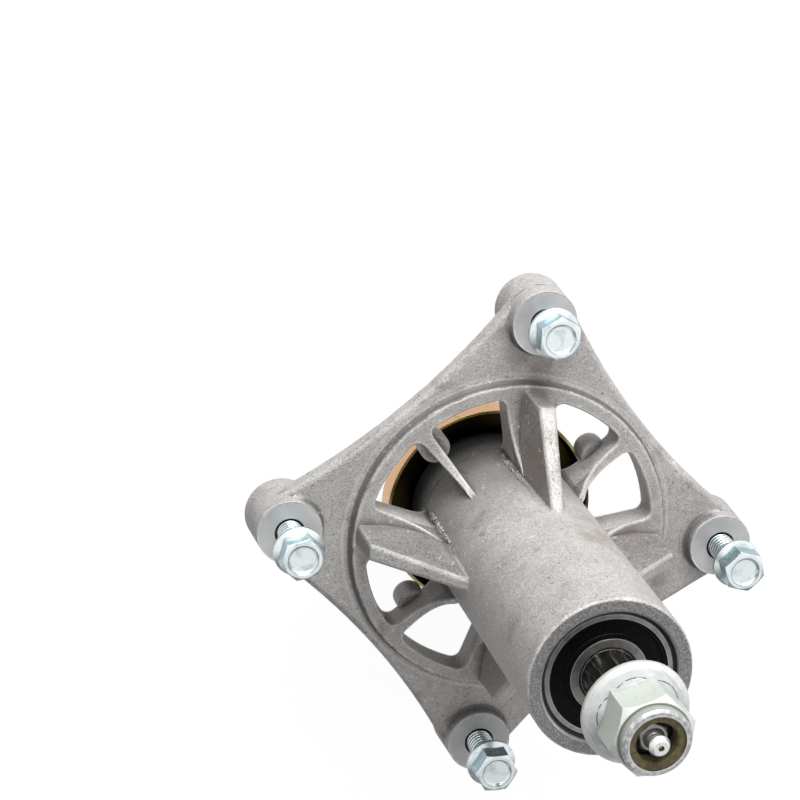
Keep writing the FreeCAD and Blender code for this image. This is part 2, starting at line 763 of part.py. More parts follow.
def dust_cup():
    """Pressed cup: a dished middle under the inner ring, a flat floor and an upright wall."""
    hole = shaft_radius + SLEEVE_GAP
    slope_end = CUP_DISH_RADIUS + CUP_DISH_SLOPE
    profile = [
        (hole, cup_dish_top),
        (CUP_DISH_RADIUS, cup_dish_top),
        (slope_end, cup_floor_top),
        (cup_inner_radius, cup_floor_top),
        (cup_inner_radius, cup_rim),
        (cup_outer_radius, cup_rim),
        (cup_outer_radius, cup_floor_bottom),
        (slope_end - CUP_SHEET / 2, cup_floor_bottom),
        (CUP_DISH_RADIUS - CUP_SHEET / 2, cup_dish_top - CUP_SHEET),
        (hole, cup_dish_top - CUP_SHEET),
    ]
    cup = turned(profile)

    def is_bend(edge, radius, z):
        return flat_at(edge, z) and abs(edge.Curve.Radius - radius) < 1e-4

    cup = rounded(cup, CUP_BEND, lambda edge: is_bend(edge, cup_outer_radius, cup_floor_bottom))
    return rounded(cup, CUP_BEND - CUP_SHEET, lambda edge: is_bend(edge, cup_inner_radius, cup_floor_top))


def flange_nut():
    """Hex lock nut with a conical flange and a round collar crimped over its insert."""
    base = spline_top
    rim_top = base + NUT_FLANGE_RIM
    cone_top = rim_top + NUT_FLANGE_CONE
    hex_top = base + NUT_HEX_TOP
    nut_top = base + NUT_HEIGHT
    collar_radius = INSERT_OUTER_RADIUS + NUT_COLLAR_WALL
    flange = turned([
        (0, base),
        (NUT_FLANGE_RADIUS - NUT_FLANGE_CHAMFER, base),
        (NUT_FLANGE_RADIUS, base + NUT_FLANGE_CHAMFER),
        (NUT_FLANGE_RADIUS, rim_top),
        (NUT_ACROSS_FLATS / 2 - NUT_CONE_TUCK, cone_top),
        (0, cone_top),
    ])
    hexagonal = crowned_hexagon(NUT_ACROSS_FLATS, base, hex_top, NUT_CROWN_HEIGHT, NUT_CROWN_INSET,
                                NUT_TURN_DEG)
    collar = turned([
        (0, base),
        (collar_radius, base),
        (collar_radius, nut_top - NUT_COLLAR_CROWN),
        (collar_radius - NUT_COLLAR_TAPER, nut_top),
        (0, nut_top),
    ])
    thread = Part.makeCylinder(THREAD_RADIUS + SLIDE_GAP, NUT_HEIGHT, at(0, 0, base))
    return flange.fuse([hexagonal, collar]).cut([thread, insert_room(nut_top)]).removeSplitter()


def insert_room(nut_top):
    """Room for the insert under the crimped lip, open at the top inside the lip."""
    bottom = nut_top - NUT_LIP - INSERT_HEIGHT
    radius = INSERT_OUTER_RADIUS + PRESS_GAP
    return turned([
        (0, bottom),
        (radius, bottom),
        (radius, nut_top - NUT_LIP),
        (INSERT_OUTER_RADIUS - NUT_LIP_OVERHANG, nut_top),
        (0, nut_top),
    ])


def nut_insert():
    top = spline_top + NUT_HEIGHT - NUT_LIP
    bottom = top - INSERT_HEIGHT
    return turned([
        (INSERT_INNER_RADIUS, bottom),
        (INSERT_OUTER_RADIUS, bottom),
        (INSERT_OUTER_RADIUS, top),
        (INSERT_INNER_RADIUS + INSERT_CHAMFER, top),
        (INSERT_INNER_RADIUS, top - INSERT_CHAMFER),
    ])


def grease_fitting():
    """Hex-bodied fitting with a bored stem and a round head that a coupler grips."""
    hex_top = shaft_top + FITTING_HEX_HEIGHT
    head_z = fitting_tip - FITTING_HEAD_DROP
    body = turned([
        (0, stem_bottom),
        (FITTING_STEM_RADIUS, stem_bottom),
        (FITTING_STEM_RADIUS, shaft_top),
        (FITTING_NECK_RADIUS + FITTING_NECK_FLARE, hex_top),
        (FITTING_NECK_RADIUS, hex_top + FITTING_NECK_SLOPE),
        (FITTING_NECK_RADIUS, head_z - FITTING_NECK_SLOPE),
        (FITTING_HEAD_RADIUS, head_z),
        (FITTING_HEAD_RADIUS, head_z + FITTING_HEAD_LAND),
        (FITTING_TIP_RADIUS, fitting_tip - FITTING_TIP_CHAMFER),
        (FITTING_TIP_RADIUS - FITTING_TIP_CHAMFER, fitting_tip),
        (0, fitting_tip),
    ])
    hexagonal = crowned_hexagon(FITTING_ACROSS_FLATS, shaft_top, hex_top, FITTING_CROWN_HEIGHT,
                                FITTING_CROWN_INSET, 0)
    bore = turned([
        (0, stem_bottom),
        (FITTING_MOUTH_RADIUS, stem_bottom),
        (FITTING_MOUTH_RADIUS, stem_bottom + SPRING_SEAT_HEIGHT),
        (FITTING_BORE_RADIUS, stem_bottom + SPRING_SEAT_HEIGHT),
        (FITTING_BORE_RADIUS, ball_seat_z),
        (FITTING_MOUTH_RADIUS, ball_seat_z),
        (FITTING_MOUTH_RADIUS, fitting_tip),
        (0, fitting_tip),
    ])
    return body.fuse(hexagonal).cut(bore).removeSplitter()


def grease_check_ball():
    return Part.makeSphere(CHECK_BALL_RADIUS, at(0, 0, check_ball_z))


def grease_spring():
    """Coil between the seat at the foot of the bore and the ball."""
    bottom = stem_bottom + SPRING_SEAT_HEIGHT + SPRING_WIRE_RADIUS
    coil_radius = FITTING_BORE_RADIUS - SPRING_WIRE_RADIUS - SLEEVE_GAP
    reach = CHECK_BALL_RADIUS + SPRING_WIRE_RADIUS + SLIDE_GAP
    top = check_ball_z - math.sqrt(reach ** 2 - coil_radius ** 2)
    coil = Part.makeHelix((top - bottom) / SPRING_TURNS, top - bottom, coil_radius)
    coil.translate(at(0, 0, bottom))
    wire_section = Part.Wire(Part.makeCircle(SPRING_WIRE_RADIUS, at(coil_radius, 0, bottom), at(0, 1, 0)))
    return Part.Wire(coil).makePipeShell([wire_section], True, True)


def deck_bolt(standoff, turn_deg):
    """Flanged hex bolt with a dished head, its flange a given height above the pad."""
    hex_top = standoff + BOLT_HEAD_HEIGHT
    rim_top = standoff + BOLT_FLANGE_RIM
    cone_top = rim_top + BOLT_FLANGE_CONE
    tip = standoff - BOLT_LENGTH
    body = turned([
        (0, tip),
        (BOLT_SHANK_RADIUS - BOLT_POINT / 2, tip),
        (BOLT_SHANK_RADIUS, tip + BOLT_POINT),
        (BOLT_SHANK_RADIUS, standoff),
        (BOLT_FLANGE_RADIUS, standoff),
        (BOLT_FLANGE_RADIUS, rim_top),
        (BOLT_ACROSS_FLATS / 2, cone_top),
        (0, cone_top),
    ])
    hexagonal = crowned_hexagon(BOLT_ACROSS_FLATS, standoff, hex_top, BOLT_CROWN_HEIGHT, BOLT_CROWN_INSET,
                                turn_deg)
    dish_foot = at(0, 0, hex_top - BOLT_DISH_DEPTH)
    dish = Part.makeCone(BOLT_DISH_RADIUS - BOLT_DISH_DEPTH, BOLT_DISH_RADIUS, BOLT_DISH_DEPTH, dish_foot)
    return body.fuse(hexagonal).cut(dish).removeSplitter()


def deck_bolts():
    bolts = []
    for i, angle in enumerate(ear_angles()):
        standoff = BOLT_STANDOFF_DRIVEN if angle == DRIVEN_EAR_DEG else BOLT_STANDOFF
        x = ear_orbit * math.cos(math.radians(angle))
        y = ear_orbit * math.sin(math.radians(angle))
        bolts.append(shifted(deck_bolt(standoff, BOLT_TURNS_DEG[i]), x, y, 0))
    return Part.makeCompound(bolts)


def build():
    nodes = {
        "housing": housing(),
        "deck_bolts": deck_bolts(),
        "shaft": shaft(),
        "spacer_sleeve": spacer_sleeve(),
        "dust_cup": dust_cup(),
        "flange_nut": flange_nut(),
        "nut_insert": nut_insert(),
        "grease_fitting": grease_fitting(),
        "grease_check_ball": grease_check_ball(),
        "grease_spring": grease_spring(),
    }
    for place, z in (("upper", upper_bearing_z), ("lower", lower_bearing_z)):
        nodes[place + "_outer_ring"] = shifted(outer_ring(), 0, 0, z)
        nodes[place + "_inner_ring"] = shifted(inner_ring(), 0, 0, z)
        nodes[place + "_balls"] = shifted(balls(), 0, 0, z)
        nodes[place + "_cage"] = shifted(cage(), 0, 0, z)
        nodes[place + "_top_seal"] = shifted(top_seal(), 0, 0, z)
        nodes[place + "_bottom_seal"] = shifted(bottom_seal(), 0, 0, z)
    return nodes


os.makedirs("parts", exist_ok=True)
for name, shape in build().items():
    shape.exportStep("parts/" + name + ".step")
    print(name, "solids", len(shape.Solids), "volume", round(shape.Volume, 1), "valid", shape.isValid())
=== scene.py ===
"""Finishes, screw threads, casting flash and studio of a mower deck spindle."""
import math
from functools import cached_property

import bpy
from bpy.props import FloatProperty, FloatVectorProperty, IntProperty, PointerProperty
from mathutils import Matrix, Vector


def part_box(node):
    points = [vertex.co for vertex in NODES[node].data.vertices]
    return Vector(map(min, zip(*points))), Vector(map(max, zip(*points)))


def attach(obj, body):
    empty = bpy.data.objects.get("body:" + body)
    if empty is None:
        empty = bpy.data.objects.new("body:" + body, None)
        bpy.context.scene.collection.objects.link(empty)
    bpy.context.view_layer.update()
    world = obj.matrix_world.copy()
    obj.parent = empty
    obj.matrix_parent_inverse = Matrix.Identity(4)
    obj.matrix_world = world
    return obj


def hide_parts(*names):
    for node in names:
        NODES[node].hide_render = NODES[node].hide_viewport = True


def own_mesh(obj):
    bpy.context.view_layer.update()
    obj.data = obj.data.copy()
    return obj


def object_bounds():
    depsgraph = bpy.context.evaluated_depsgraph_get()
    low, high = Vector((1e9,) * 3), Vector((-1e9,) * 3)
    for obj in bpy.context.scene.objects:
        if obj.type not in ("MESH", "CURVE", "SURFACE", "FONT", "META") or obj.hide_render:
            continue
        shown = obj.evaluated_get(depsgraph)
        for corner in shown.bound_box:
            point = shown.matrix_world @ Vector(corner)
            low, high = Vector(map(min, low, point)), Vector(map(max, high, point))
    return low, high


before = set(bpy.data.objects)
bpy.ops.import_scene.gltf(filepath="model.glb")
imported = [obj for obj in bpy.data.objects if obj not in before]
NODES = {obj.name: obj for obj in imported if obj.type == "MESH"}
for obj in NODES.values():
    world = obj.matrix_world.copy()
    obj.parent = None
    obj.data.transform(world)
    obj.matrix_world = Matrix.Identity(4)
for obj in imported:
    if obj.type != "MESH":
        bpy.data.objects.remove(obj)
CAD_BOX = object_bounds()

bl_info = {
    "name": "Mower deck spindle looks",
    "version": (1, 0, 0),
    "blender": (4, 5, 0),
    "location": "View3D > Sidebar > Spindle",
    "description": "Dresses a mower deck spindle and sets it in a white studio",
    "category": "Object",
}

MM = 0.001
HOUSING_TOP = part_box("housing")[1].z
BOLTS_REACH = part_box("deck_bolts")[1].x
NUT_FOOT, NUT_TOP = (corner.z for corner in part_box("flange_nut"))
CUP_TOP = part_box("dust_cup")[1].z
SHAFT_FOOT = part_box("shaft")[0].z
FITTING_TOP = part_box("grease_fitting")[1].z
EAR_DEGREES = (45.0, 135.0, 225.0, 315.0)
# Index of the ear whose bolt is driven deeper than the others
DRIVEN_EAR = 2
SIXTH_TURN = math.pi / 3.0
# Points in one turn of a thread or spring, and half a thread ridge's width as a share of the pitch
TURN_POINTS = 40
RIDGE_HALF_WIDTH = 0.42
WHITE = (1.0, 1.0, 1.0)

# Kinds of node sockets
NUMBER = "NodeSocketFloat"
WHOLE_NUMBER = "NodeSocketInt"
VECTOR = "NodeSocketVector"
GEOMETRY = "NodeSocketGeometry"
MATERIAL = "NodeSocketMaterial"


# Kinds of settings

def colour(name, description, default):
    """A colour setting, in linear values."""
    return FloatVectorProperty(
        name=name, description=description, default=default, subtype="COLOR", size=3, min=0.0, max=1.0
    )


def length(name, description, millimetres):
    """A length setting, given in millimetres and held in metres."""
    return FloatProperty(
        name=name, description=description, default=millimetres * MM, subtype="DISTANCE", unit="LENGTH",
        precision=5,
    )


def share(name, description, default):
    """A setting between nothing and all."""
    return FloatProperty(
        name=name, description=description, default=default, subtype="FACTOR", min=0.0, max=1.0
    )


def angle(name, description, degrees):
    """An angle setting, given in degrees and held in radians."""
    return FloatProperty(
        name=name, description=description, default=math.radians(degrees), subtype="ANGLE", unit="ROTATION"
    )


def power(name, description, watts):
    """The power of a lamp."""
    return FloatProperty(name=name, description=description, default=watts, unit="POWER")


def point(name, description, default):
    """A point setting, in metres."""
    return FloatVectorProperty(
        name=name, description=description, default=default, subtype="XYZ", unit="LENGTH", size=3, precision=5
    )


class CastingSettings(bpy.types.PropertyGroup):
    """The die-cast aluminium of the housing."""

    light: colour("Light skin", "Bright grains of the cast skin", (0.605, 0.588, 0.574))
    dark: colour("Dark skin", "Dull grains of the cast skin", (0.385, 0.368, 0.353))
    stain: colour("Stain", "Brown die release stains", (0.31, 0.235, 0.195))
    # Painted shade on the gusset flanks and low on the tube, which the flash's dark grains take too
    flank_shade: colour("Flanks", "Duller metal on the sides of the gussets", (0.12, 0.117, 0.114))
    # Painted shade on the tube inside the cup, in the bore's mouth and in the bolt holes
    gap: colour("Bore gap", "Shade and grease round the bearing", (0.012, 0.012, 0.012))
    pit: colour("Pits", "Small open pores", (0.07, 0.06, 0.055))
    # Painted shade in inside corners; the same dark also draws the die's flow lines and small nicks
    corner_shade_and_marks: colour("Hollows", "Dull metal in inside corners", (0.115, 0.11, 0.105))
    # Bright for rubbed edges, chips and burrs, and for the painted highlights on edges, along the ring's foot
    # and on the gusset ridges
    wear_and_highlight: colour("Worn edges", "Edges rubbed bright", (0.84, 0.83, 0.82))
    milled: colour("Milled pads", "Faces cut flat after casting", (0.66, 0.675, 0.68))
    # Painted shade on the step round the raised ring, the ears' inner walls and the gussets' ends
    step: colour("Step", "Rough wall round the raised ring", (0.085, 0.083, 0.083))
    end_face: colour("Tube end", "Cut face round the bearing", (0.20, 0.197, 0.20))
    grain: length("Grain", "Size of the sandy grain", 0.50)
    edge_width: length("Edge width", "How far bright wear reaches from an edge", 1.7)
    # The reach of the painted corner shade
    hollow_reach: length("Hollow reach", "How far dull metal reaches from a corner", 4.0)
    pad_radius: length("Pad radius", "Radius of a milled pad", 10.7)
    hole_mouth: length("Bolt hole mouth", "Radius of a bolt hole where it opens in its pad", 5.0)
    ear_reach: length("Ear reach", "Distance from the axis past which an ear's outer side lies", 76.0)
    ring_radius: length("Ring radius", "Outer radius of the raised ring", 53.5)
    plate_drop: length("Plate drop", "How far the plate lies under the pads", 4.6)
    tube_reach: length("Tube reach", "Radius within which the skin belongs to the tube", 28.0)
    tube_foot: length("Tube foot", "Radius past which a gusset stands clear of the tube", 25.8)
    rim_radius: length("Tube rim", "Radius of the tube at its cut end", 25.1)
    lead_radius: length("Bore mouth", "Radius of the bore's mouth", 21.3)
    gusset_reach: length("Gusset reach", "Radius past which a gusset's end face lies", 40.0)
    gusset_top: length("Gusset top", "Height that the gussets stay under", 42.0)
    gusset_end_top: length("Gusset end top", "Height that a gusset's end face stays under", 16.0)
    # Above this height the gusset ridges are lightened, partly as wear and partly as a painted highlight
    ridge_low: length("Ridge foot", "Height over which a gusset's ridge is rubbed bright", 13.0)
    # Painted shade on the gusset flanks is full up to the first distance across the plate and gone at the
    # second
    side_shade_full: length("Soot full", "Distance across the plate up to which gusset sides are dull", 15.0)
    side_shade_end: length("Soot end", "Distance across the plate at which gusset sides are clean", 45.0)
    # Painted shade on the tube below this height, strongest by the plate
    shelter_top: length("Shelter top", "Height under which the tube keeps its dull skin", 36.0)
    shade_top: length("Shade top", "Height under which the tube stands in the cup's shade", -13.0)
    shade_low: length("Shade depth", "Height at which that shade is darkest", -26.0)
    parting_z: length("Parting line", "Height of the line where the die halves met", -16.4)
    ear_line_z: length("Ear line", "Height of the line round the outer side of an ear", -7.0)
    roughness: share("Roughness", "Roughness of the cast skin", 0.52)
    metallic: share("Metallic", "How far the cast skin mirrors as bare metal does", 0.10)


class FlashSettings(bpy.types.PropertyGroup):
    """The rough metal left along the feet of the gussets."""

    radius: length("Bead radius", "Mean radius of the flash", 0.62)
    jitter: length("Jitter", "How far the flash wanders", 1.1)
    step: length("Step", "Spacing of the flash's points", 0.35)
    tube_radius: length("Tube radius", "Radius at which the flash stands on the tube", 26.1)
    half_width: length("Half width", "Distance of the foot line from the middle of its gusset", 3.9)
    spread: length("Spread", "Distance between the two lines of flash", 0.9)
    low: length("Low end", "Height at which the flash starts", -9.0)
    high: length("High end", "Height at which the flash ends", 27.0)
    narrowing: share("Narrowing", "How far the foot lines close up towards their top", 0.15)
    seed: IntProperty(name="Seed", description="Seed of the flash's shape", default=7)


class BoltSettings(bpy.types.PropertyGroup):
    """The zinc plated deck bolts."""

    zinc: colour("Zinc", "Bright plating", (0.88, 0.94, 0.955))
    teal: colour("Teal", "Blue-green passivation", (0.27, 0.41, 0.45))
    # Painted shade in the bolts' corners and along the wall of the dish in the head
    shade_and_marks: colour("Grime", "Dull metal in corners", (0.16, 0.18, 0.18))
    core_radius: length("Core radius", "Radius of the shank under the thread", 3.95)
    crest: length("Crest", "Height of the thread on the shank", 0.42)
    pitch: length("Pitch", "Thread pitch", 1.55)
    flange_radius: length("Flange radius", "Radius of the washer face", 8.25)
    dish_radius: length("Dish radius", "Radius of the dish in the head", 5.0)
    standoff: length("Standoff", "Height of the head over its pad", 14.2)
    driven_standoff: length("Driven standoff", "Height of the one deeper head", 8.7)
    mouth: length("Mouth", "Depth at which the thread enters the hole", 0.5)
    run_out: length("Run out", "Plain shank left under the head", 0.9)
    roughness: share("Roughness", "Roughness of the plating", 0.25)


class SteelSettings(bpy.types.PropertyGroup):
    """Shaft, sleeve, bearing rings, cages and seals."""

    ring: colour("Rings", "Ground bearing steel", (0.27, 0.26, 0.25))
    ring_edge: colour("Ring edges", "Bright chamfers of the rings", (0.72, 0.705, 0.69))
    shaft: colour("Shaft", "Dark oiled steel", (0.045, 0.043, 0.041))
    shaft_rubbed: colour("Rubbed shaft", "Bright patches on the shaft", (0.46, 0.45, 0.43))
    sleeve: colour("Sleeve", "Drawn tube", (0.34, 0.33, 0.32))
    cage: colour("Cages", "Pressed sheet steel", (0.46, 0.45, 0.43))
    rubber: colour("Rubber", "Black seals", (0.0035, 0.0038, 0.0048))
    hole_radius: length("Blade hole", "Radius of the tapped blade hole", 4.25)
    hole_crest: length("Blade thread", "Height of the thread in the blade hole", 0.30)
    hole_pitch: length("Blade pitch", "Pitch of the thread in the blade hole", 1.25)
    hole_depth: length("Thread depth", "Threaded depth of the blade hole", 22.0)


class CupSettings(bpy.types.PropertyGroup):
    """The yellow plated dust cup."""

    gold: colour("Gold", "Yellow passivation", (0.62, 0.38, 0.16))
    rose: colour("Rose", "Warm tint of the plating", (0.66, 0.36, 0.20))
    olive: colour("Olive", "Greenish tint of the plating", (0.36, 0.33, 0.12))
    # Painted shade inside the cup
    inside: colour("Inside", "Grease and shade inside the cup", (0.020, 0.015, 0.004))
    # Painted highlight along the cup's rim
    rim: colour("Rim", "Olive edge of the cup", (0.42, 0.36, 0.16))
    roughness: share("Roughness", "Roughness of the plating", 0.30)


class NutSettings(bpy.types.PropertyGroup):
    """The lock nut, its plastic ring and the grease fitting."""

    zinc: colour("Zinc", "White plating", (0.86, 0.875, 0.865))
    green: colour("Green", "Green-grey tint of the plating", (0.46, 0.51, 0.44))
    violet: colour("Violet", "Grey-violet tint of the crown", (0.30, 0.29, 0.315))
    # Partly tint and partly painted shade by the hex
    blue: colour("Blue", "Blue-grey tint on the flange's cone", (0.36, 0.40, 0.43))
    # Painted shade in corners, in the crease under the collar and where the fitting is sunk in the nut; it
    # also draws the outlines of the forged lands
    shade_and_marks: colour("Grime", "Dull metal in corners", (0.13, 0.13, 0.115))
    nylon: colour("Nylon", "Locking ring", (0.155, 0.125, 0.058))
    nylon_shade: colour("Nylon shade", "Darker patches of the ring", (0.085, 0.068, 0.030))
    bronze: colour("Bronze", "Grease-stained mouth of the fitting", (0.36, 0.29, 0.18))
    fitting: colour("Fitting", "Bright plating of the fitting", (0.93, 0.935, 0.95))
    mouth_radius: length("Fitting mouth", "Radius of the stain in the fitting's mouth", 0.95)
    wire: length("Spring wire", "Radius of the spring's wire", 0.2)
    travel: length("Ball travel", "How far a grease gun presses the ball down", 1.0)
    coils: FloatProperty(name="Coils", description="Turns of the spring under the ball", default=6.0)
    turn: angle("Turn", "Angle of a hexagon corner", 36.0)
    land_centre: length("Land centre", "Centre of the forged lands under the flats", 4.6)
    land_radius: length("Land radius", "Radius of the forged lands", 7.9)
    across_flats: length("Across flats", "Width of the hexagon", 22.2)
    flange_height: length("Flange height", "Height of the flange's cone", 6.0)
    cone_radius: length("Cone radius", "Radius within which the flange's cone is tinted", 14.3)
    collar_radius: length("Collar radius", "Radius of the collar round the plastic ring", 10.2)
    roughness: share("Roughness", "Roughness of the plating", 0.42)


class StudioSettings(bpy.types.PropertyGroup):
    """Floor, lamps and camera."""

    camera_place: point("Camera", "Place of the camera", (-0.024153, -0.346835, 0.630452))
    camera_aim: point(
        "Aim", "Point in the pad plane that the camera looks at", (-0.001666, -0.064425, 0.0)
    )
    camera_roll: angle("Roll", "Turn of the camera about its line of sight", 144.82)
    lens: FloatProperty(
        name="Lens", description="Focal length on a 36 mm sensor", default=97.93, unit="CAMERA"
    )
    floor_size: length("Floor", "Width of the floor", 8000.0)
    floor_grey: share("Floor grey", "How much of the light the floor throws back", 0.10)
    floor_white: share("Floor glow", "White that the floor shows by itself", 0.94)
    sky_dark: share("Dark side", "Light from the dark side of the studio", 0.09)
    sky_light: share("Light side", "Light from the bright side of the studio", 0.24)
    mirror_dark: share("Dark mirror", "White that metal mirrors from the dark side of the studio", 0.22)
    key_turn: angle("Key turn", "Compass angle of the main lamp", 229.0)
    key_rise: angle("Key rise", "Height angle of the main lamp", 16.0)
    key_power: power("Key power", "Power of the main lamp", 13.5)
    key_width: length("Key width", "Width of the main lamp", 900.0)
    key_height: length("Key height", "Height of the main lamp", 600.0)
    top_turn: angle("Top turn", "Compass angle of the lamp overhead", 85.0)
    top_rise: angle("Top rise", "Height angle of the lamp overhead", 66.0)
    top_power: power("Top power", "Power of the lamp overhead", 5.2)
    top_width: length("Top width", "Width of the lamp overhead", 1600.0)
    lamp_distance: length("Lamp distance", "Distance of the lamps from the part", 1000.0)


class SpindleSettings(bpy.types.PropertyGroup):
    """All settings of the spindle's looks."""

    casting: PointerProperty(type=CastingSettings)
    flash: PointerProperty(type=FlashSettings)
    bolts: PointerProperty(type=BoltSettings)
    steel: PointerProperty(type=SteelSettings)
    cup: PointerProperty(type=CupSettings)
    nut: PointerProperty(type=NutSettings)
    studio: PointerProperty(type=StudioSettings)


# Node trees

class Graph:
    """A node tree with short calls for the steps that finishes and shapes are made of."""

    def __init__(self, tree):
        self.tree = tree

    def node(self, kind, **settings):
        made = self.tree.nodes.new(kind)
        for name, value in settings.items():
            setattr(made, name, value)
        return made

    def feed(self, socket, value):
        """Links a socket to another one, or sets its plain value."""
        if isinstance(value, bpy.types.NodeSocket):
            self.tree.links.new(value, socket)
        elif socket.type == "RGBA" and len(value) == 3:
            socket.default_value = (*value, 1.0)
        else:
            socket.default_value = value

    def wired(self, kind, inputs, **settings):
        """A node whose inputs are fed by their names or numbers."""
        made = self.node(kind, **settings)
        for name, value in inputs.items():
            self.feed(made.inputs[name], value)
        return made

    def place(self):
        return self.node("ShaderNodeTexCoord").outputs["Object"]

    def math(self, operation, *values):
        return self.wired("ShaderNodeMath", dict(enumerate(values)), operation=operation).outputs[0]

    def product(self, first, *others):
        """Several values multiplied."""
        for other in others:
            first = self.math("MULTIPLY", first, other)
        return first

    def most(self, first, *others):
        """The greatest of several values."""
        for other in others:
            first = self.math("MAXIMUM", first, other)
        return first

    def around(self, base, value, reach):
        """A base with a share of a changing value added."""
        return self.math("ADD", base, self.product(value, reach))

    def inverse(self, mask):
        return self.math("SUBTRACT", 1.0, mask)

    def xyz(self, vector):
        return self.wired("ShaderNodeSeparateXYZ", {"Vector": vector}).outputs

    def joined(self, x, y, z):
        return self.wired("ShaderNodeCombineXYZ", {"X": x, "Y": y, "Z": z}).outputs["Vector"]

    def vector_math(self, operation, *values):
        return self.wired("ShaderNodeVectorMath", dict(enumerate(values)), operation=operation).outputs

    def size(self, vector):
        return self.vector_math("LENGTH", vector)["Value"]

    def fade(self, value, low, high):
        """From 0 at low to 1 at high, smoothly. Low may be above high."""
        inputs = {"Value": value, "From Min": low, "From Max": high}
        made = self.wired("ShaderNodeMapRange", inputs, interpolation_type="SMOOTHSTEP", clamp=True)
        return made.outputs["Result"]

    def between(self, value, low, high, soft):
        """1 where value lies between low and high, with soft edges."""
        rise = self.fade(value, low - soft, low + soft)
        fall = self.fade(value, high + soft, high - soft)
        return self.product(rise, fall)

    def noise(self, vector, grain, detail=2.0, distortion=0.0):
        """Noise whose lumps are about grain metres across, or follow a linked scale."""
        scale = grain if isinstance(grain, bpy.types.NodeSocket) else 1.0 / grain
        inputs = {"Vector": vector, "Scale": scale, "Detail": detail, "Distortion": distortion}
        return self.wired("ShaderNodeTexNoise", inputs).outputs["Fac"]

    def patches(self, vector, grain, low, high, detail=2.0, distortion=0.0):
        """Mask of patches of the given grain, from where a noise passes low to where it passes high."""
        return self.fade(self.noise(vector, grain, detail, distortion), low, high)

    def contours(self, vector, grain, level, reach, core, detail, distortion):
        """Mask of thin, curling lines that follow one level of a noise."""
        above = self.math("SUBTRACT", self.noise(vector, grain, detail, distortion), level)
        return self.fade(self.math("ABSOLUTE", above), reach, core)

    # A Mix node has sockets of its own for each kind of data: 6 and 7 take colours, 2 and 3 take numbers

    def mix(self, part, first, second):
        """A colour between two others."""
        return self.wired("ShaderNodeMix", {0: part, 6: first, 7: second}, data_type="RGBA").outputs[2]

    def blend(self, part, first, second):
        """A number between two others."""
        return self.wired("ShaderNodeMix", {0: part, 2: first, 3: second}, data_type="FLOAT").outputs[0]

    def tint(self, tone, shade, mask, weight):
        """The tone, drawn towards a shade by weight where the mask is on."""
        return self.mix(self.product(mask, weight), tone, shade)

    def effect(self, build, **values):
        """One of the shared effects, with its inputs set."""
        made = self.node("ShaderNodeGroup", node_tree=shared(build))
        for name, value in values.items():
            self.feed(made.inputs[name.replace("_", " ").title()], value)
        return made.outputs


def shared(build):
    """The node group that a function builds, made on its first use and named after the function."""
    return bpy.data.node_groups.get(build.__name__) or build(build.__name__)


def group_tree(name, kind, inputs, outputs):
    """A new node group with the given sockets: its graph and the sockets of its two end nodes."""
    tree = bpy.data.node_groups.new(name, kind)
    for side, sockets in (("INPUT", inputs), ("OUTPUT", outputs)):
        for label, socket in sockets.items():
            tree.interface.new_socket(label, in_out=side, socket_type=socket)
    graph = Graph(tree)
    return graph, graph.node("NodeGroupInput").outputs, graph.node("NodeGroupOutput").inputs


def effect_tree(name, inputs, outputs):
    """A new shader group that puts out numbers."""
    return group_tree(name, "ShaderNodeTree", inputs, dict.fromkeys(outputs, NUMBER))


def edge_wear_and_corner_shade(name):
    """Masks of outside edges rubbed bright, which also stand in for their highlight, and of inside corners,
    where shade is painted.
    """
    inputs = dict.fromkeys(("Edge Width", "Hollow Reach", "Breakup"), NUMBER)
    graph, given, wanted = effect_tree(name, inputs, ("Worn", "Hollow"))
    probe = {"samples": 8, "only_local": True}
    inner = graph.wired(
        "ShaderNodeAmbientOcclusion", {"Distance": given["Edge Width"]}, inside=True, **probe
    )
    outer = graph.wired("ShaderNodeAmbientOcclusion", {"Distance": given["Hollow Reach"]}, **probe)
    place = graph.place()
    ragged = graph.blend(0.5, graph.noise(place, 0.8 * MM, detail=3.0), graph.noise(place, 6.0 * MM))
    shift = graph.product(graph.math("SUBTRACT", ragged, 0.55), given["Breakup"])
    edge = graph.math("ADD", graph.inverse(inner.outputs["AO"]), shift)
    graph.feed(wanted["Worn"], graph.fade(edge, 0.08, 0.36))
    graph.feed(wanted["Hollow"], graph.fade(graph.inverse(outer.outputs["AO"]), 0.10, 0.62))
    return graph.tree


def cast_skin(name):
    """Sandy cast skin: tone of the grains, open pores and height."""
    inputs = dict.fromkeys(("Scale", "Pores"), NUMBER)
    graph, given, wanted = effect_tree(name, inputs, ("Tone", "Pit", "Height"))
    place = graph.place()
    fine, blotch, pore = (
        graph.noise(place, graph.product(given["Scale"], part), detail)
        for part, detail in ((0.85, 1.0), (0.38, 2.0), (0.75, 1.0))
    )
    grains = graph.blend(0.32, fine, blotch)
    mottled = graph.blend(0.24, grains, graph.noise(place, 11.0 * MM, detail=4.0))
    graph.feed(wanted["Tone"], graph.fade(mottled, 0.36, 0.63))
    edge = graph.inverse(given["Pores"])
    pit = graph.fade(pore, edge, graph.math("ADD", edge, 0.05))
    graph.feed(wanted["Pit"], pit)
    graph.feed(wanted["Height"], graph.around(grains, pit, -0.6))
    return graph.tree


def turning_lines(name):
    """Fine lines left by a lathe or a spot facer round the given centre."""
    graph, given, wanted = effect_tree(name, {"Vector": VECTOR, "Pitch": NUMBER}, ("Lines",))
    x, y, _ = graph.xyz(given["Vector"])
    turns = graph.math("DIVIDE", graph.size(graph.joined(x, y, 0.0)), given["Pitch"])
    lines = graph.wired(
        "ShaderNodeTexNoise", {"W": turns, "Scale": 1.0, "Detail": 3.0}, noise_dimensions="1D"
    )
    graph.feed(wanted["Lines"], lines.outputs["Fac"])
    return graph.tree


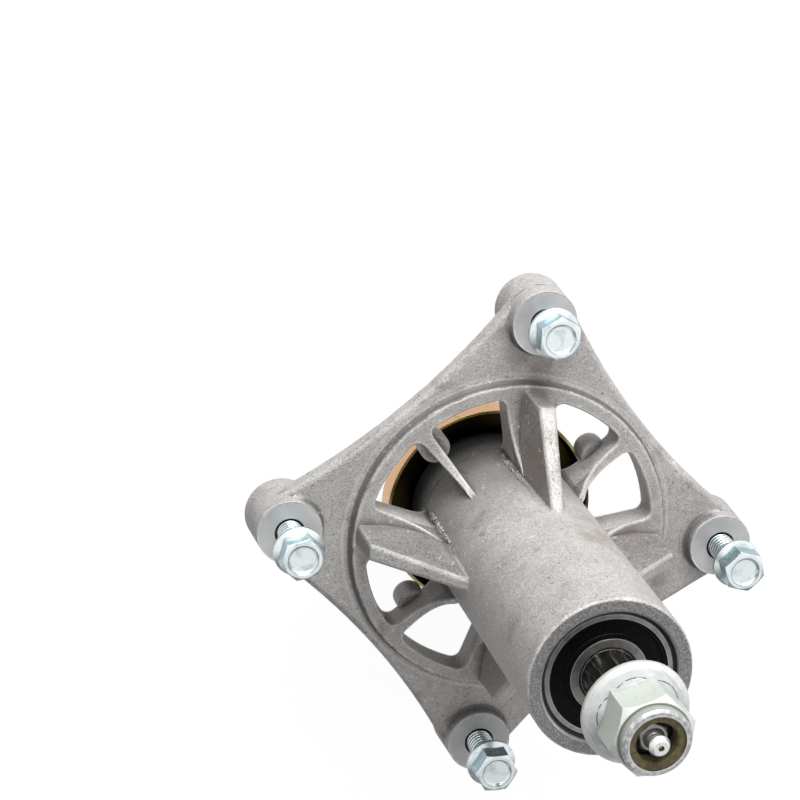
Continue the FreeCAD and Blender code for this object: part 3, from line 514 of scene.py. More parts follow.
def scuffs(name):
    """Short scratches that run in two directions."""
    graph, given, wanted = effect_tree(name, dict.fromkeys(("Scale", "Share"), NUMBER), ("Mask",))
    place = graph.place()
    streaks = []
    for turn, lean in ((0.5, 0.3), (-0.9, 1.1)):
        inputs = {"Vector": place, "Rotation": (lean, turn, turn * 2.0), "Scale": (1.0, 0.05, 0.35)}
        drawn = graph.wired("ShaderNodeMapping", inputs).outputs["Vector"]
        streaks.append(graph.noise(drawn, given["Scale"], detail=1.0))
    edge = graph.inverse(given["Share"])
    graph.feed(wanted["Mask"], graph.fade(graph.most(*streaks), edge, graph.math("ADD", edge, 0.06)))
    return graph.tree


# Finishes

def bolt_offset():
    """Distance of a deck bolt from the part's two middle planes."""
    return BOLTS_REACH - bpy.context.scene.spindle.bolts.flange_radius


class Spot:
    """Where a shaded point lies on the part, and which way its face looks."""

    def __init__(self, graph):
        self.graph = graph
        self.place = graph.place()
        self.x, self.y, self.z = graph.xyz(self.place)

    @cached_property
    def radius(self):
        """Distance from the part's axis."""
        return self.graph.size(self.graph.joined(self.x, self.y, 0.0))

    @cached_property
    def facing(self):
        """The three parts of the face's normal."""
        return self.graph.xyz(self.graph.node("ShaderNodeNewGeometry").outputs["Normal"])

    @cached_property
    def level(self):
        """0 on an upright face, 1 on a level one."""
        return self.graph.math("ABSOLUTE", self.facing["Z"])

    @cached_property
    def upward(self):
        """Mask of level faces that look up."""
        return self.graph.fade(self.facing["Z"], 0.90, 0.97)

    @cached_property
    def outward(self):
        """How far the face looks away from the axis: 1 straight out, -1 straight in."""
        graph = self.graph
        along = graph.math(
            "ADD", graph.product(self.facing["X"], self.x), graph.product(self.facing["Y"], self.y)
        )
        return graph.math("DIVIDE", along, self.radius)

    @cached_property
    def ear_place(self):
        """Place measured from the nearest bolt hole, by folding the four corners onto one."""
        graph = self.graph
        half = bolt_offset()
        across, along = (
            graph.math("SUBTRACT", graph.math("ABSOLUTE", axis), half) for axis in (self.x, self.y)
        )
        return graph.joined(across, along, 0.0)

    @cached_property
    def ear_distance(self):
        """Distance from the middle of the nearest bolt hole."""
        return self.graph.size(self.ear_place)


def principled(name, roughness=0.3, metallic=1.0):
    """A new material with a Principled shader, metallic unless said otherwise, and its graph."""
    material = bpy.data.materials.new(name)
    material.use_nodes = True
    shader = material.node_tree.nodes["Principled BSDF"]
    shader.inputs["Metallic"].default_value = metallic
    shader.inputs["Roughness"].default_value = roughness
    return material, Graph(material.node_tree), shader


def paint(graph, shader, tone, roughness, height, depth, edge_round=None):
    """Feeds a shader's colour, roughness and bump of a depth in metres, over edges rounded off."""
    graph.feed(shader.inputs["Base Color"], tone)
    graph.feed(shader.inputs["Roughness"], roughness)
    bump = graph.wired("ShaderNodeBump", {"Height": height, "Distance": depth, "Strength": 1.0})
    if edge_round:
        rounded = graph.wired("ShaderNodeBevel", {"Radius": edge_round}, samples=4)
        graph.feed(bump.inputs["Normal"], rounded.outputs["Normal"])
    graph.feed(shader.inputs["Normal"], bump.outputs["Normal"])


def casting_finish(look):
    """Sandy die-cast aluminium with rubbed edges, stains, milled pads and a cut tube end; shade is painted in
    its corners, on the gusset flanks, low on the tube, on its walls and in its deep places, and highlights
    along the ring's foot and on the ridges.
    """
    material, graph, shader = principled("cast_aluminium", metallic=look.metallic)
    spot = Spot(graph)
    skin = graph.effect(cast_skin, scale=1.0 / look.grain, pores=0.295)
    marks = graph.effect(
        edge_wear_and_corner_shade, edge_width=look.edge_width, hollow_reach=look.hollow_reach, breakup=0.9
    )
    near_tube = graph.fade(spot.radius, look.tube_reach, look.tube_reach - 0.5 * MM)
    pad = milled_pads(graph, look, spot)

    tone = graph.mix(skin["Tone"], look.dark, look.light)
    tone = shaded_flanks(graph, look, spot, skin, tone)
    tone = die_marks(graph, look, spot, near_tube, tone)
    # Painted shade in inside corners
    tone = graph.tint(tone, look.corner_shade_and_marks, marks["Hollow"], 0.85)
    # Painted shade low on the tube, strongest by the plate
    plate_shade = graph.product(graph.fade(spot.z, look.shelter_top, 0.0), near_tube)
    tone = graph.tint(tone, look.flank_shade, plate_shade, 0.55)
    tone = shaded_walls(graph, look, spot, tone)
    tone = worn_places(graph, look, spot, skin, marks, tone)
    tone = cut_tube_end(graph, look, spot, tone)
    tone = graph.mix(pad, tone, milled_tone(graph, look, spot))
    # Painted shade in the deep places
    tone = graph.mix(painted_deep_shade(graph, look, spot, near_tube), tone, look.gap)

    matt = graph.around(look.roughness - 0.08, skin["Tone"], 0.16)
    rubbed = graph.around(matt, marks["Worn"], -0.14)
    height = graph.product(skin["Height"], graph.around(1.0, pad, -0.92))
    paint(graph, shader, tone, graph.blend(pad, rubbed, 0.34), height, 0.30 * MM)
    return material


def shaded_flanks(graph, look, spot, skin, tone):
    """Paints shade on the upright sides of the gussets, most of all on one half of the plate."""
    flank_shade = graph.product(
        graph.fade(graph.math("ABSOLUTE", spot.outward), 0.75, 0.45), graph.fade(spot.level, 0.45, 0.20),
        graph.fade(spot.radius, look.tube_foot, look.tube_foot + 0.8 * MM),
        graph.between(spot.z, 0.5 * MM, look.gusset_top, 0.5 * MM),
    )
    # The tone of the painted shade
    dull = graph.mix(graph.product(skin["Tone"], 0.45), look.flank_shade, look.light)
    shaded_side = graph.fade(graph.math("ADD", spot.x, spot.y), look.side_shade_end, look.side_shade_full)
    return graph.tint(tone, dull, graph.product(flank_shade, shaded_side), 0.9)


def die_marks(graph, look, spot, near_tube, tone):
    """Adds what the die left: stains, flow lines, the parting line and a line round the ears."""
    place = spot.place
    stained = graph.patches(place, 15.0 * MM, 0.56, 0.70, detail=4.0)
    tone = graph.tint(tone, look.stain, stained, 0.55)
    flow = graph.contours(
        place, 24.0 * MM, level=0.47, reach=0.008, core=0.003, detail=2.0, distortion=1.4
    )
    tone = graph.tint(tone, look.corner_shade_and_marks, graph.product(flow, graph.patches(place, 9.0 * MM, 0.54, 0.60)), 0.4)
    line_z = graph.around(spot.z, graph.noise(place, 7.0 * MM), 0.8 * MM)
    parting = graph.between(line_z, look.parting_z, look.parting_z + 0.7 * MM, 0.15 * MM)
    tone = graph.tint(tone, look.pit, graph.product(parting, near_tube), 0.6)
    ear_line = graph.product(
        graph.between(line_z, look.ear_line_z, look.ear_line_z + 0.9 * MM, 0.2 * MM),
        graph.fade(spot.radius, look.ear_reach, look.ear_reach + 2.0 * MM),
        graph.patches(place, 4.0 * MM, 0.38, 0.52),
    )
    return graph.tint(tone, look.pit, ear_line, 0.6)


def shaded_walls(graph, look, spot, tone):
    """Paints shade on the step round the raised ring, the ears' inner walls and the gussets' ends, and a
    highlight on the plate along the ring's foot.
    """
    plate = -look.plate_drop
    foot = look.ring_radius + 2.0 * MM
    ring_wall = graph.product(
        graph.between(spot.radius, look.ring_radius - 0.6 * MM, foot, 0.3 * MM),
        graph.fade(spot.facing["Z"], 0.95, 0.75),
        graph.between(spot.z, plate - 0.2 * MM, -0.9 * MM, 0.2 * MM),
    )
    ear_wall = graph.product(
        graph.between(spot.ear_distance, look.pad_radius, look.pad_radius + 2.1 * MM, 0.3 * MM),
        graph.fade(spot.outward, 0.0, -0.30),
        graph.between(spot.z, plate, -0.4 * MM, 0.2 * MM),
    )
    gusset_end = graph.product(
        graph.fade(spot.radius, look.gusset_reach, look.gusset_reach + 4.0 * MM),
        graph.fade(spot.outward, 0.60, 0.85),
        graph.between(spot.z, -0.4 * MM, look.gusset_end_top, 0.2 * MM),
    )
    # Painted shade on these walls
    walls = graph.most(ring_wall, ear_wall, graph.product(gusset_end, 0.75))
    tone = graph.tint(tone, look.step, walls, 0.8)
    # Painted highlight on the plate along the ring's foot
    foot_highlight = graph.product(
        graph.between(spot.radius, foot, foot + 1.0 * MM, 0.5 * MM),
        graph.between(spot.z, plate - 0.1 * MM, plate + 0.1 * MM, 0.1 * MM),
    )
    return graph.tint(tone, look.wear_and_highlight, foot_highlight, 0.35)


def worn_places(graph, look, spot, skin, marks, tone):
    """Adds pores, nicks, chips, rubbed edges that also stand in for their highlight, fine scratches, and
    gusset ridges lightened partly by rubbing and partly as a painted highlight.
    """
    place = spot.place
    tone = graph.tint(tone, look.pit, skin["Pit"], 0.8)
    tone = graph.tint(tone, look.corner_shade_and_marks, graph.patches(place, 1.7 * MM, 0.715, 0.735), 0.7)
    tone = graph.tint(tone, look.wear_and_highlight, graph.patches(place, 2.4 * MM, 0.705, 0.725), 0.5)
    # Rubbed edges, which also paint their highlight
    tone = graph.tint(tone, look.wear_and_highlight, marks["Worn"], 0.85)
    hairlines = graph.contours(
        place, 5.0 * MM, level=0.5, reach=0.016, core=0.006, detail=1.0, distortion=0.8
    )
    scratched = graph.product(hairlines, graph.patches(place, 6.0 * MM, 0.58, 0.66))
    tone = graph.tint(tone, look.wear_and_highlight, scratched, 0.5)
    # Gusset ridges, partly rubbed bright and partly a painted highlight
    ridge = graph.product(
        graph.between(spot.facing["Z"], 0.62, 0.82, 0.08),
        graph.between(spot.z, look.ridge_low, look.gusset_top, 1.0 * MM),
        graph.fade(skin["Tone"], 0.05, 0.60),
    )
    return graph.tint(tone, look.wear_and_highlight, ridge, 0.28)


def cut_tube_end(graph, look, spot, tone):
    """Speckles the tube's cut end and chips its outer edge bright."""
    end = graph.product(graph.fade(spot.z, HOUSING_TOP - 0.5 * MM, HOUSING_TOP - 0.1 * MM), spot.upward)
    speckle = graph.patches(spot.place, 0.42 * MM, 0.36, 0.74)
    tone = graph.mix(end, tone, graph.tint(look.end_face, look.light, speckle, 0.6))
    chipped = graph.product(
        graph.fade(spot.z, HOUSING_TOP - 1.6 * MM, HOUSING_TOP - 0.7 * MM),
        graph.fade(spot.radius, look.rim_radius - 1.0 * MM, look.rim_radius - 0.5 * MM),
        graph.patches(spot.place, 1.5 * MM, 0.48, 0.64, detail=3.0),
        graph.patches(spot.place, 14.0 * MM, 0.44, 0.58, detail=1.0),
    )
    return graph.tint(tone, look.wear_and_highlight, chipped, 0.6)


def milled_pads(graph, look, spot):
    """Mask of the pads that are cut flat round the bolt holes."""
    return graph.product(
        graph.fade(spot.ear_distance, look.pad_radius, look.pad_radius - 0.4 * MM), spot.upward,
        graph.fade(spot.z, -0.3 * MM, -0.1 * MM), graph.fade(spot.z, 2.0 * MM, 1.0 * MM),
    )


def milled_tone(graph, look, spot):
    """Colour of a pad: tool marks, a cloudy cast and a bright burr along its edge."""
    cut = graph.effect(turning_lines, vector=spot.ear_place, pitch=0.12 * MM)
    tone = graph.tint(look.milled, look.light, cut["Lines"], 0.6)
    cloudy = graph.patches(spot.place, 13.0 * MM, 0.36, 0.62, detail=3.0)
    tone = graph.tint(tone, look.dark, cloudy, 0.45)
    burr = graph.product(
        graph.fade(spot.ear_distance, look.pad_radius - 0.8 * MM, look.pad_radius - 0.4 * MM),
        graph.patches(spot.place, 1.6 * MM, 0.40, 0.58, detail=3.0),
    )
    return graph.tint(tone, look.wear_and_highlight, burr, 0.8)


def painted_deep_shade(graph, look, spot, near_tube):
    """Mask of painted shade on the tube inside the cup, in the gap round the bearing and in the bolt holes.
    """
    shade = graph.product(graph.fade(spot.z, look.shade_top, look.shade_low), near_tube)
    mouth = graph.product(
        graph.fade(spot.radius, look.lead_radius - 0.3 * MM, look.lead_radius - 1.0 * MM),
        graph.fade(spot.z, HOUSING_TOP - 2.4 * MM, HOUSING_TOP - 1.6 * MM),
    )
    hole = graph.fade(spot.ear_distance, look.hole_mouth + 0.06 * MM, look.hole_mouth - 0.06 * MM)
    return graph.most(graph.product(shade, 0.95), mouth, hole)


def flash_finish(look):
    """Torn metal of the flash, darker than the skin that it stands on, its dark grains in the painted shade
    colour of the gusset flanks.
    """
    material, graph, shader = principled("flash_metal", metallic=look.metallic)
    skin = graph.effect(cast_skin, scale=1.0 / look.grain, pores=0.33)
    # Dark grains in the painted flank shade colour
    tone = graph.mix(skin["Tone"], look.flank_shade, look.light)
    tone = graph.tint(tone, look.pit, skin["Pit"], 0.8)
    paint(graph, shader, tone, look.roughness, skin["Height"], 0.30 * MM)
    return material


def zinc_finish(look):
    """Bright zinc with blue-green patches, flats tinted teal partly as painted shade, and painted shade in
    its corners and along the wall of its dish.
    """
    material, graph, shader = principled("bolt_zinc", metallic=0.8)
    spot = Spot(graph)
    marks = graph.effect(edge_wear_and_corner_shade, edge_width=0.5 * MM, hollow_reach=1.6 * MM, breakup=0.4)
    scuffed = graph.effect(scuffs, scale=900.0, share=0.34)
    patch = graph.patches(spot.place, 5.5 * MM, 0.48, 0.70, distortion=0.6)
    # Upright faces tinted teal, partly passivation and partly painted shade against the bright tops
    flats = graph.fade(spot.level, 0.40, 0.15)
    teal = graph.most(graph.product(patch, 0.45), graph.product(flats, 0.9))
    tone = graph.mix(teal, look.zinc, look.teal)
    # Painted shade along the wall of the dish in the head
    rim = graph.between(spot.ear_distance, look.dish_radius - 0.22 * MM, look.dish_radius, 0.1 * MM)
    tone = graph.tint(tone, look.shade_and_marks, rim, 0.75)
    # Painted shade in inside corners
    tone = graph.tint(tone, look.shade_and_marks, marks["Hollow"], 0.55)
    tone = graph.tint(tone, look.zinc, scuffed["Mask"], 0.35)
    tone = graph.tint(tone, look.zinc, marks["Worn"], 0.6)
    cloud = graph.noise(spot.place, 1.6 * MM)
    rough = graph.around(look.roughness - 0.06, cloud, 0.12)
    paint(graph, shader, tone, rough, cloud, 0.025 * MM, edge_round=0.25 * MM)
    return material


def nut_finish(look):
    """White zinc with forged lands marked under the flats, a tinted crown, green-grey flats and a blue-grey
    cone that partly stand in for shade, and painted shade in the corners and in the crease under the collar.
    """
    material, graph, shader = principled("nut_zinc", metallic=0.25)
    spot = Spot(graph)
    place = spot.place
    marks = graph.effect(edge_wear_and_corner_shade, edge_width=0.6 * MM, hollow_reach=3.0 * MM, breakup=0.5)
    scuffed = graph.effect(scuffs, scale=700.0, share=0.36)
    patch = graph.patches(place, 6.0 * MM, 0.44, 0.70, detail=3.0, distortion=0.8)
    # Upright faces tinted green-grey, partly plating tint and partly painted shade against the bright tops
    flats = graph.fade(spot.level, 0.40, 0.15)
    green = graph.most(graph.product(patch, 0.30), graph.product(flats, 0.72))
    tone = graph.mix(green, look.zinc, look.green)
    crown = graph.product(
        graph.fade(spot.z, NUT_TOP - 1.8 * MM, NUT_TOP - 0.6 * MM),
        graph.patches(place, 1.6 * MM, 0.20, 0.62),
    )
    tone = graph.tint(tone, look.violet, crown, 0.8)
    # Blue-grey on the flange's cone by the hex, partly tint and partly painted shade
    cone = graph.product(
        graph.between(spot.radius, look.across_flats / 2.0, look.cone_radius, 0.4 * MM),
        graph.fade(spot.z, NUT_FOOT + 6.2 * MM, NUT_FOOT + 5.6 * MM),
        graph.patches(place, 7.0 * MM, 0.34, 0.60),
    )
    tone = graph.tint(tone, look.blue, cone, 0.45)
    # Painted shade in the crease under the collar
    crease = graph.product(
        graph.between(spot.radius, look.collar_radius, look.collar_radius + 0.35 * MM, 0.1 * MM),
        graph.fade(spot.z, NUT_TOP - 3.7 * MM, NUT_TOP - 3.5 * MM),
    )
    tone = graph.tint(tone, look.shade_and_marks, crease, 0.7)
    tone = graph.tint(tone, look.green, scuffed["Mask"], 0.4)
    # Painted shade in inside corners
    tone = graph.tint(tone, look.shade_and_marks, marks["Hollow"], 0.75)
    tone = graph.tint(tone, look.zinc, marks["Worn"], 0.6)
    land = forged_lands(graph, look, spot)
    tone = graph.mix(land, tone, look.shade_and_marks)
    cloud = graph.noise(place, 1.0 * MM, detail=3.0)
    rough = graph.around(look.roughness - 0.10, cloud, 0.20)
    height = graph.math("SUBTRACT", graph.product(cloud, 0.3), land)
    paint(graph, shader, tone, rough, height, 0.10 * MM, edge_round=0.35 * MM)
    return material


def forged_lands(graph, look, spot):
    """Mask of the broken outlines of the round lands that the forging left under the flats."""
    turned = graph.math("SUBTRACT", graph.math("ARCTAN2", spot.y, spot.x), look.turn + SIXTH_TURN / 2.0)
    folded = graph.math("PINGPONG", graph.math("ADD", turned, 4.0 * math.pi), SIXTH_TURN / 2.0)
    out = graph.product(spot.radius, graph.math("COSINE", folded))
    aside = graph.product(spot.radius, graph.math("SINE", folded))
    from_land = graph.size(graph.joined(graph.math("SUBTRACT", out, look.land_centre), aside, 0.0))
    flange_top = NUT_FOOT + look.flange_height
    return graph.product(
        graph.between(from_land, look.land_radius - 0.12 * MM, look.land_radius + 0.12 * MM, 0.06 * MM),
        graph.fade(out, look.across_flats / 2.0, look.across_flats / 2.0 + 0.2 * MM),
        graph.fade(spot.z, flange_top + 0.4 * MM, flange_top - 0.4 * MM),
        graph.patches(spot.place, 2.2 * MM, 0.36, 0.50),
    )


def nylon_finish(look):
    """Dull olive-tan plastic with a cut grain."""
    material, graph, shader = principled("nylon", metallic=0.0)
    place = graph.place()
    cloud = graph.noise(place, 1.8 * MM, detail=3.0)
    cut = graph.effect(turning_lines, vector=place, pitch=0.18 * MM)
    tone = graph.mix(graph.fade(cloud, 0.35, 0.65), look.nylon_shade, look.nylon)
    paint(graph, shader, tone, graph.around(0.42, cloud, 0.2), cut["Lines"], 0.04 * MM)
    return material


def fitting_finish(look):
    """Bright cloudy plating, with painted shade in its corners and where the fitting is sunk in the nut, and
    a stained mouth.
    """
    material, graph, shader = principled("fitting_zinc", metallic=0.7)
    spot = Spot(graph)
    marks = graph.effect(edge_wear_and_corner_shade, edge_width=0.3 * MM, hollow_reach=0.9 * MM, breakup=0.3)
    cloud = graph.noise(spot.place, 0.8 * MM, detail=3.0)
    tone = graph.tint(look.fitting, look.green, graph.fade(cloud, 0.50, 0.72), 0.5)
    # Painted shade in inside corners
    tone = graph.tint(tone, look.shade_and_marks, marks["Hollow"], 0.5)
    tone = graph.tint(tone, look.fitting, marks["Worn"], 0.6)
    # Painted shade where the fitting is sunk in the nut
    sunk = graph.fade(spot.z, FITTING_TOP - 3.0 * MM, FITTING_TOP - 5.5 * MM)
    tone = graph.tint(tone, look.shade_and_marks, sunk, 0.7)
    mouth = graph.fade(spot.radius, look.mouth_radius, look.mouth_radius - 0.15 * MM)
    tone = graph.mix(mouth, tone, look.bronze)
    paint(graph, shader, tone, graph.around(0.18, cloud, 0.22), cloud, 0.02 * MM, edge_round=0.12 * MM)
    return material


def ring_finish(look):
    """Ground bearing steel with lathe lines and bright chamfers."""
    material, graph, shader = principled("bearing_steel")
    place = graph.place()
    marks = graph.effect(edge_wear_and_corner_shade, edge_width=0.35 * MM, hollow_reach=1.2 * MM, breakup=0.2)
    lines = graph.effect(turning_lines, vector=place, pitch=0.10 * MM)["Lines"]
    tone = graph.tint(look.ring, look.ring_edge, lines, 0.35)
    tone = graph.tint(tone, look.shaft, graph.patches(place, 3.0 * MM, 0.45, 0.7, detail=3.0), 0.35)
    tone = graph.tint(tone, look.ring_edge, marks["Worn"], 0.8)
    paint(graph, shader, tone, graph.around(0.36, lines, 0.16), lines, 0.012 * MM, edge_round=0.15 * MM)
    return material


def shaft_finish(look):
    """Dark oiled steel, rubbed bright in long patches and on its edges."""
    material, graph, shader = principled("shaft_steel")
    spot = Spot(graph)
    marks = graph.effect(edge_wear_and_corner_shade, edge_width=0.5 * MM, hollow_reach=1.5 * MM, breakup=0.9)
    lines = graph.effect(turning_lines, vector=spot.place, pitch=0.2 * MM)["Lines"]
    drawn_out = graph.joined(spot.x, spot.y, graph.product(spot.z, 0.12))
    patch = graph.patches(drawn_out, 1.5 * MM, 0.52, 0.66, detail=4.0)
    tone = graph.tint(look.shaft, look.shaft_rubbed, patch, 0.6)
    tone = graph.tint(tone, look.shaft_rubbed, marks["Worn"], 0.7)
    paint(graph, shader, tone, graph.around(0.30, lines, 0.25), lines, 0.03 * MM, edge_round=0.2 * MM)
    return material


def drawn_finish(name, clear, dull):
    """Plain drawn or pressed steel with cloudy tone and fine scratches."""
    material, graph, shader = principled(name)
    scuffed = graph.effect(scuffs, scale=600.0, share=0.36)
    cloud = graph.noise(graph.place(), 2.5 * MM, detail=4.0)
    tone = graph.tint(clear, dull, graph.fade(cloud, 0.40, 0.68), 0.6)
    tone = graph.tint(tone, clear, scuffed["Mask"], 0.3)
    paint(graph, shader, tone, graph.around(0.28, cloud, 0.2), cloud, 0.02 * MM)
    return material


def rubber_finish(look):
    """Black moulded rubber with faint moulding lines and dust."""
    material, graph, shader = principled("seal_rubber", metallic=0.0)
    shader.inputs["Specular IOR Level"].default_value = 0.08
    place = graph.place()
    cloud = graph.noise(place, 5.0 * MM, detail=3.0)
    cut = graph.effect(turning_lines, vector=place, pitch=0.4 * MM)
    dust = graph.patches(place, 0.35 * MM, 0.66, 0.74)
    tone = graph.tint(look.rubber, look.sleeve, dust, 0.25)
    paint(graph, shader, tone, graph.around(0.30, cloud, 0.22), cut["Lines"], 0.015 * MM)
    return material


def gold_finish(look):
    """Yellow passivated sheet steel that drifts from rose to olive, with a painted highlight on its rim and
    painted shade inside the cup.
    """
    material, graph, shader = principled("cup_gold")
    spot = Spot(graph)
    drift = graph.noise(spot.place, 16.0 * MM, distortion=1.5)
    scuffed = graph.effect(scuffs, scale=420.0, share=0.34)
    cut = graph.effect(turning_lines, vector=spot.place, pitch=0.5 * MM)
    tone = graph.mix(graph.fade(drift, 0.40, 0.62), look.gold, look.rose)
    tone = graph.tint(tone, look.olive, graph.fade(drift, 0.46, 0.32), 0.7)
    tone = graph.tint(tone, look.olive, scuffed["Mask"], 0.3)
    inner_wall = graph.fade(spot.outward, -0.10, -0.40)
    below_rim = graph.fade(spot.z, CUP_TOP - 0.2 * MM, CUP_TOP - 0.4 * MM)
    lifted = graph.fade(spot.facing["Z"], 0.40, 0.70)
    # Painted highlight on the top of the rim
    tone = graph.mix(graph.product(lifted, graph.inverse(below_rim)), tone, look.rim)
    # Painted shade on the inner wall and the floor of the cup
    inside = graph.most(inner_wall, graph.product(lifted, below_rim))
    tone = graph.tint(tone, look.inside, inside, 0.96)
    cloud = graph.noise(spot.place, 1.5 * MM, detail=3.0)
    rough = graph.around(look.roughness - 0.1, cloud, 0.2)
    paint(graph, shader, tone, rough, cut["Lines"], 0.02 * MM, edge_round=0.3 * MM)
    return material


# Pieces made here

def dress(material, *names):
    """Gives the material to the named nodes of the frame."""
    for name in names:
        for place in NODES[name].material_slots:
            place.material = material


def shape_tree(name, inputs):
    """A new geometry group that takes and gives a mesh, and takes a material last."""
    sockets = {"Geometry": GEOMETRY, **inputs, "Material": MATERIAL}
    return group_tree(name, "GeometryNodeTree", sockets, {"Geometry": GEOMETRY})


def finish_tree(graph, geometry, given, wanted):
    """Ends a geometry tree in real faces with their material."""
    real = graph.wired("GeometryNodeRealizeInstances", {"Geometry": geometry})
    painted = graph.wired(
        "GeometryNodeSetMaterial", {"Geometry": real.outputs["Geometry"], "Material": given["Material"]}
    )
    graph.feed(wanted["Geometry"], painted.outputs["Geometry"])


def circle(graph, corners, radius):
    """A closed curve with the given number of corners."""
    inputs = {"Resolution": corners, "Radius": radius}
    return graph.wired("GeometryNodeCurvePrimitiveCircle", inputs).outputs["Curve"]


def winding(graph, given, wanted, turns, profile):
    """Ends a tree in a profile that winds up from each point of the mesh."""
    spiral = graph.wired(
        "GeometryNodeCurveSpiral",
        {
            "Resolution": TURN_POINTS, "Rotations": turns, "Height": given["Length"],
            "Start Radius": given["Radius"], "End Radius": given["Radius"],
        },
    )
    upright = graph.wired("GeometryNodeSetCurveNormal", {"Curve": spiral.outputs["Curve"]}, mode="Z_UP")
    swept = graph.wired(
        "GeometryNodeCurveToMesh",
        {"Curve": upright.outputs["Curve"], "Profile Curve": profile, "Fill Caps": True},
    )
    placed = graph.wired(
        "GeometryNodeInstanceOnPoints", {"Points": given["Geometry"], "Instance": swept.outputs["Mesh"]}
    )
    finish_tree(graph, placed.outputs["Instances"], given, wanted)


def rolled_thread(name):
    """A ridge that winds up from each point of the mesh, with its crest half sunk in the wall."""
    inputs = dict.fromkeys(("Radius", "Crest", "Pitch", "Length"), NUMBER)
    graph, given, wanted = shape_tree(name, inputs)
    diamond = circle(graph, corners=4, radius=1.0)
    stretch = graph.joined(given["Crest"], graph.product(given["Pitch"], RIDGE_HALF_WIDTH), 1.0)
    ridge = graph.wired("GeometryNodeTransform", {"Geometry": diamond, "Scale": stretch})
    turns = graph.math("DIVIDE", given["Length"], given["Pitch"])
    winding(graph, given, wanted, turns, ridge.outputs["Geometry"])
    return graph.tree


def spring_coil(name):
    """A round wire that winds up from each point of the mesh."""
    inputs = dict.fromkeys(("Radius", "Wire", "Turns", "Length"), NUMBER)
    graph, given, wanted = shape_tree(name, inputs)
    winding(graph, given, wanted, given["Turns"], circle(graph, corners=8, radius=given["Wire"]))
    return graph.tree


def casting_flash(name):
    """A ragged bead of metal along the edges of the mesh, thinner towards its top."""
    inputs = dict.fromkeys(("Radius", "Jitter", "Step", "Top"), NUMBER)
    graph, given, wanted = shape_tree(name, {**inputs, "Seed": WHOLE_NUMBER})
    path = graph.wired("GeometryNodeMeshToCurve", {"Mesh": given["Geometry"]})
    steps = {"Curve": path.outputs["Curve"], "Length": given["Step"]}
    fine = graph.wired("GeometryNodeResampleCurve", steps, mode="LENGTH")
    wander, lumps = (
        graph.wired(
            "ShaderNodeTexNoise", {"W": given["Seed"], "Scale": scale, "Detail": detail},
            noise_dimensions="4D",
        )
        for scale, detail in ((420.0, 3.0), (700.0, 2.0))
    )
    centred = graph.vector_math("SUBTRACT", wander.outputs["Color"], (0.5, 0.5, 0.5))["Vector"]
    offset = graph.wired(
        "ShaderNodeVectorMath", {"Vector": centred, "Scale": given["Jitter"]}, operation="SCALE"
    )
    moved = graph.wired(
        "GeometryNodeSetPosition", {"Geometry": fine.outputs["Curve"], "Offset": offset.outputs["Vector"]}
    )
    height = graph.xyz(graph.node("GeometryNodeInputPosition").outputs["Position"])["Z"]
    swell = graph.product(
        graph.fade(lumps.outputs["Fac"], 0.34, 0.72), graph.fade(height, given["Top"], 0.0), 2.0
    )
    swept = graph.wired(
        "GeometryNodeCurveToMesh",
        {
            "Curve": moved.outputs["Geometry"],
            "Profile Curve": circle(graph, corners=6, radius=given["Radius"]),
            "Scale": swell, "Fill Caps": True,
        },
    )
    finish_tree(graph, swept.outputs["Mesh"], given, wanted)
    return graph.tree


def grown(name, build, points, edges, **values):
    """The mesh that a geometry tree grows on the given points and edges, as a plain object."""
    tree = shared(build)
    base = bpy.data.meshes.new(name)
    base.from_pydata(points, edges, [])
    piece = bpy.data.objects.new(name, base)
    bpy.context.scene.collection.objects.link(piece)
    modifier = piece.modifiers.new("tree", "NODES")
    modifier.node_group = tree
    sockets = {item.name: item.identifier for item in tree.interface.items_tree if item.in_out == "INPUT"}
    for label, value in values.items():
        modifier[sockets[label.title()]] = value
    bpy.context.view_layer.update()
    solid = bpy.data.meshes.new_from_object(piece.evaluated_get(bpy.context.evaluated_depsgraph_get()))
    piece.modifiers.remove(modifier)
    piece.data = solid
    solid.name = name
    if not solid.polygons:
        raise RuntimeError(f"{name} has no faces")
    return piece


def seat(piece, body):
    """Lets a piece made here ride on its body."""
    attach(piece, body)


def foot_lines(flash):
    """Points and edges of the lines where the gussets' rounded feet run into the tube."""
    points, edges = [], []
    steps = 24
    radius = flash.tube_radius
    for ear in EAR_DEGREES:
        for hand, out in ((-1.0, 0.0), (1.0, 0.0), (-1.0, flash.spread), (1.0, flash.spread)):
            first = len(points)
            half = (flash.half_width + out) / radius
            for step in range(steps + 1):
                rise = step / steps
                turn = math.radians(ear) + hand * half * (1.0 - flash.narrowing * rise)
                height = flash.low + (flash.high - flash.low) * rise
                points.append((radius * math.cos(turn), radius * math.sin(turn), height))
            edges += [(first + step, first + step + 1) for step in range(steps)]
    return points, edges


# Operators

class SPINDLE_OT_housing(bpy.types.Operator):
    """Finish the cast housing and leave flash along its gussets"""

    bl_idname = "spindle.housing"
    bl_label = "Housing"

    def execute(self, context):
        settings = context.scene.spindle
        dress(casting_finish(settings.casting), "housing")
        flash = settings.flash
        points, edges = foot_lines(flash)
        piece = grown(
            "casting_flash", casting_flash, points, edges, radius=flash.radius, jitter=flash.jitter,
            step=flash.step, top=flash.high, seed=flash.seed, material=flash_finish(settings.casting),
        )
        seat(piece, "housing")
        return {"FINISHED"}


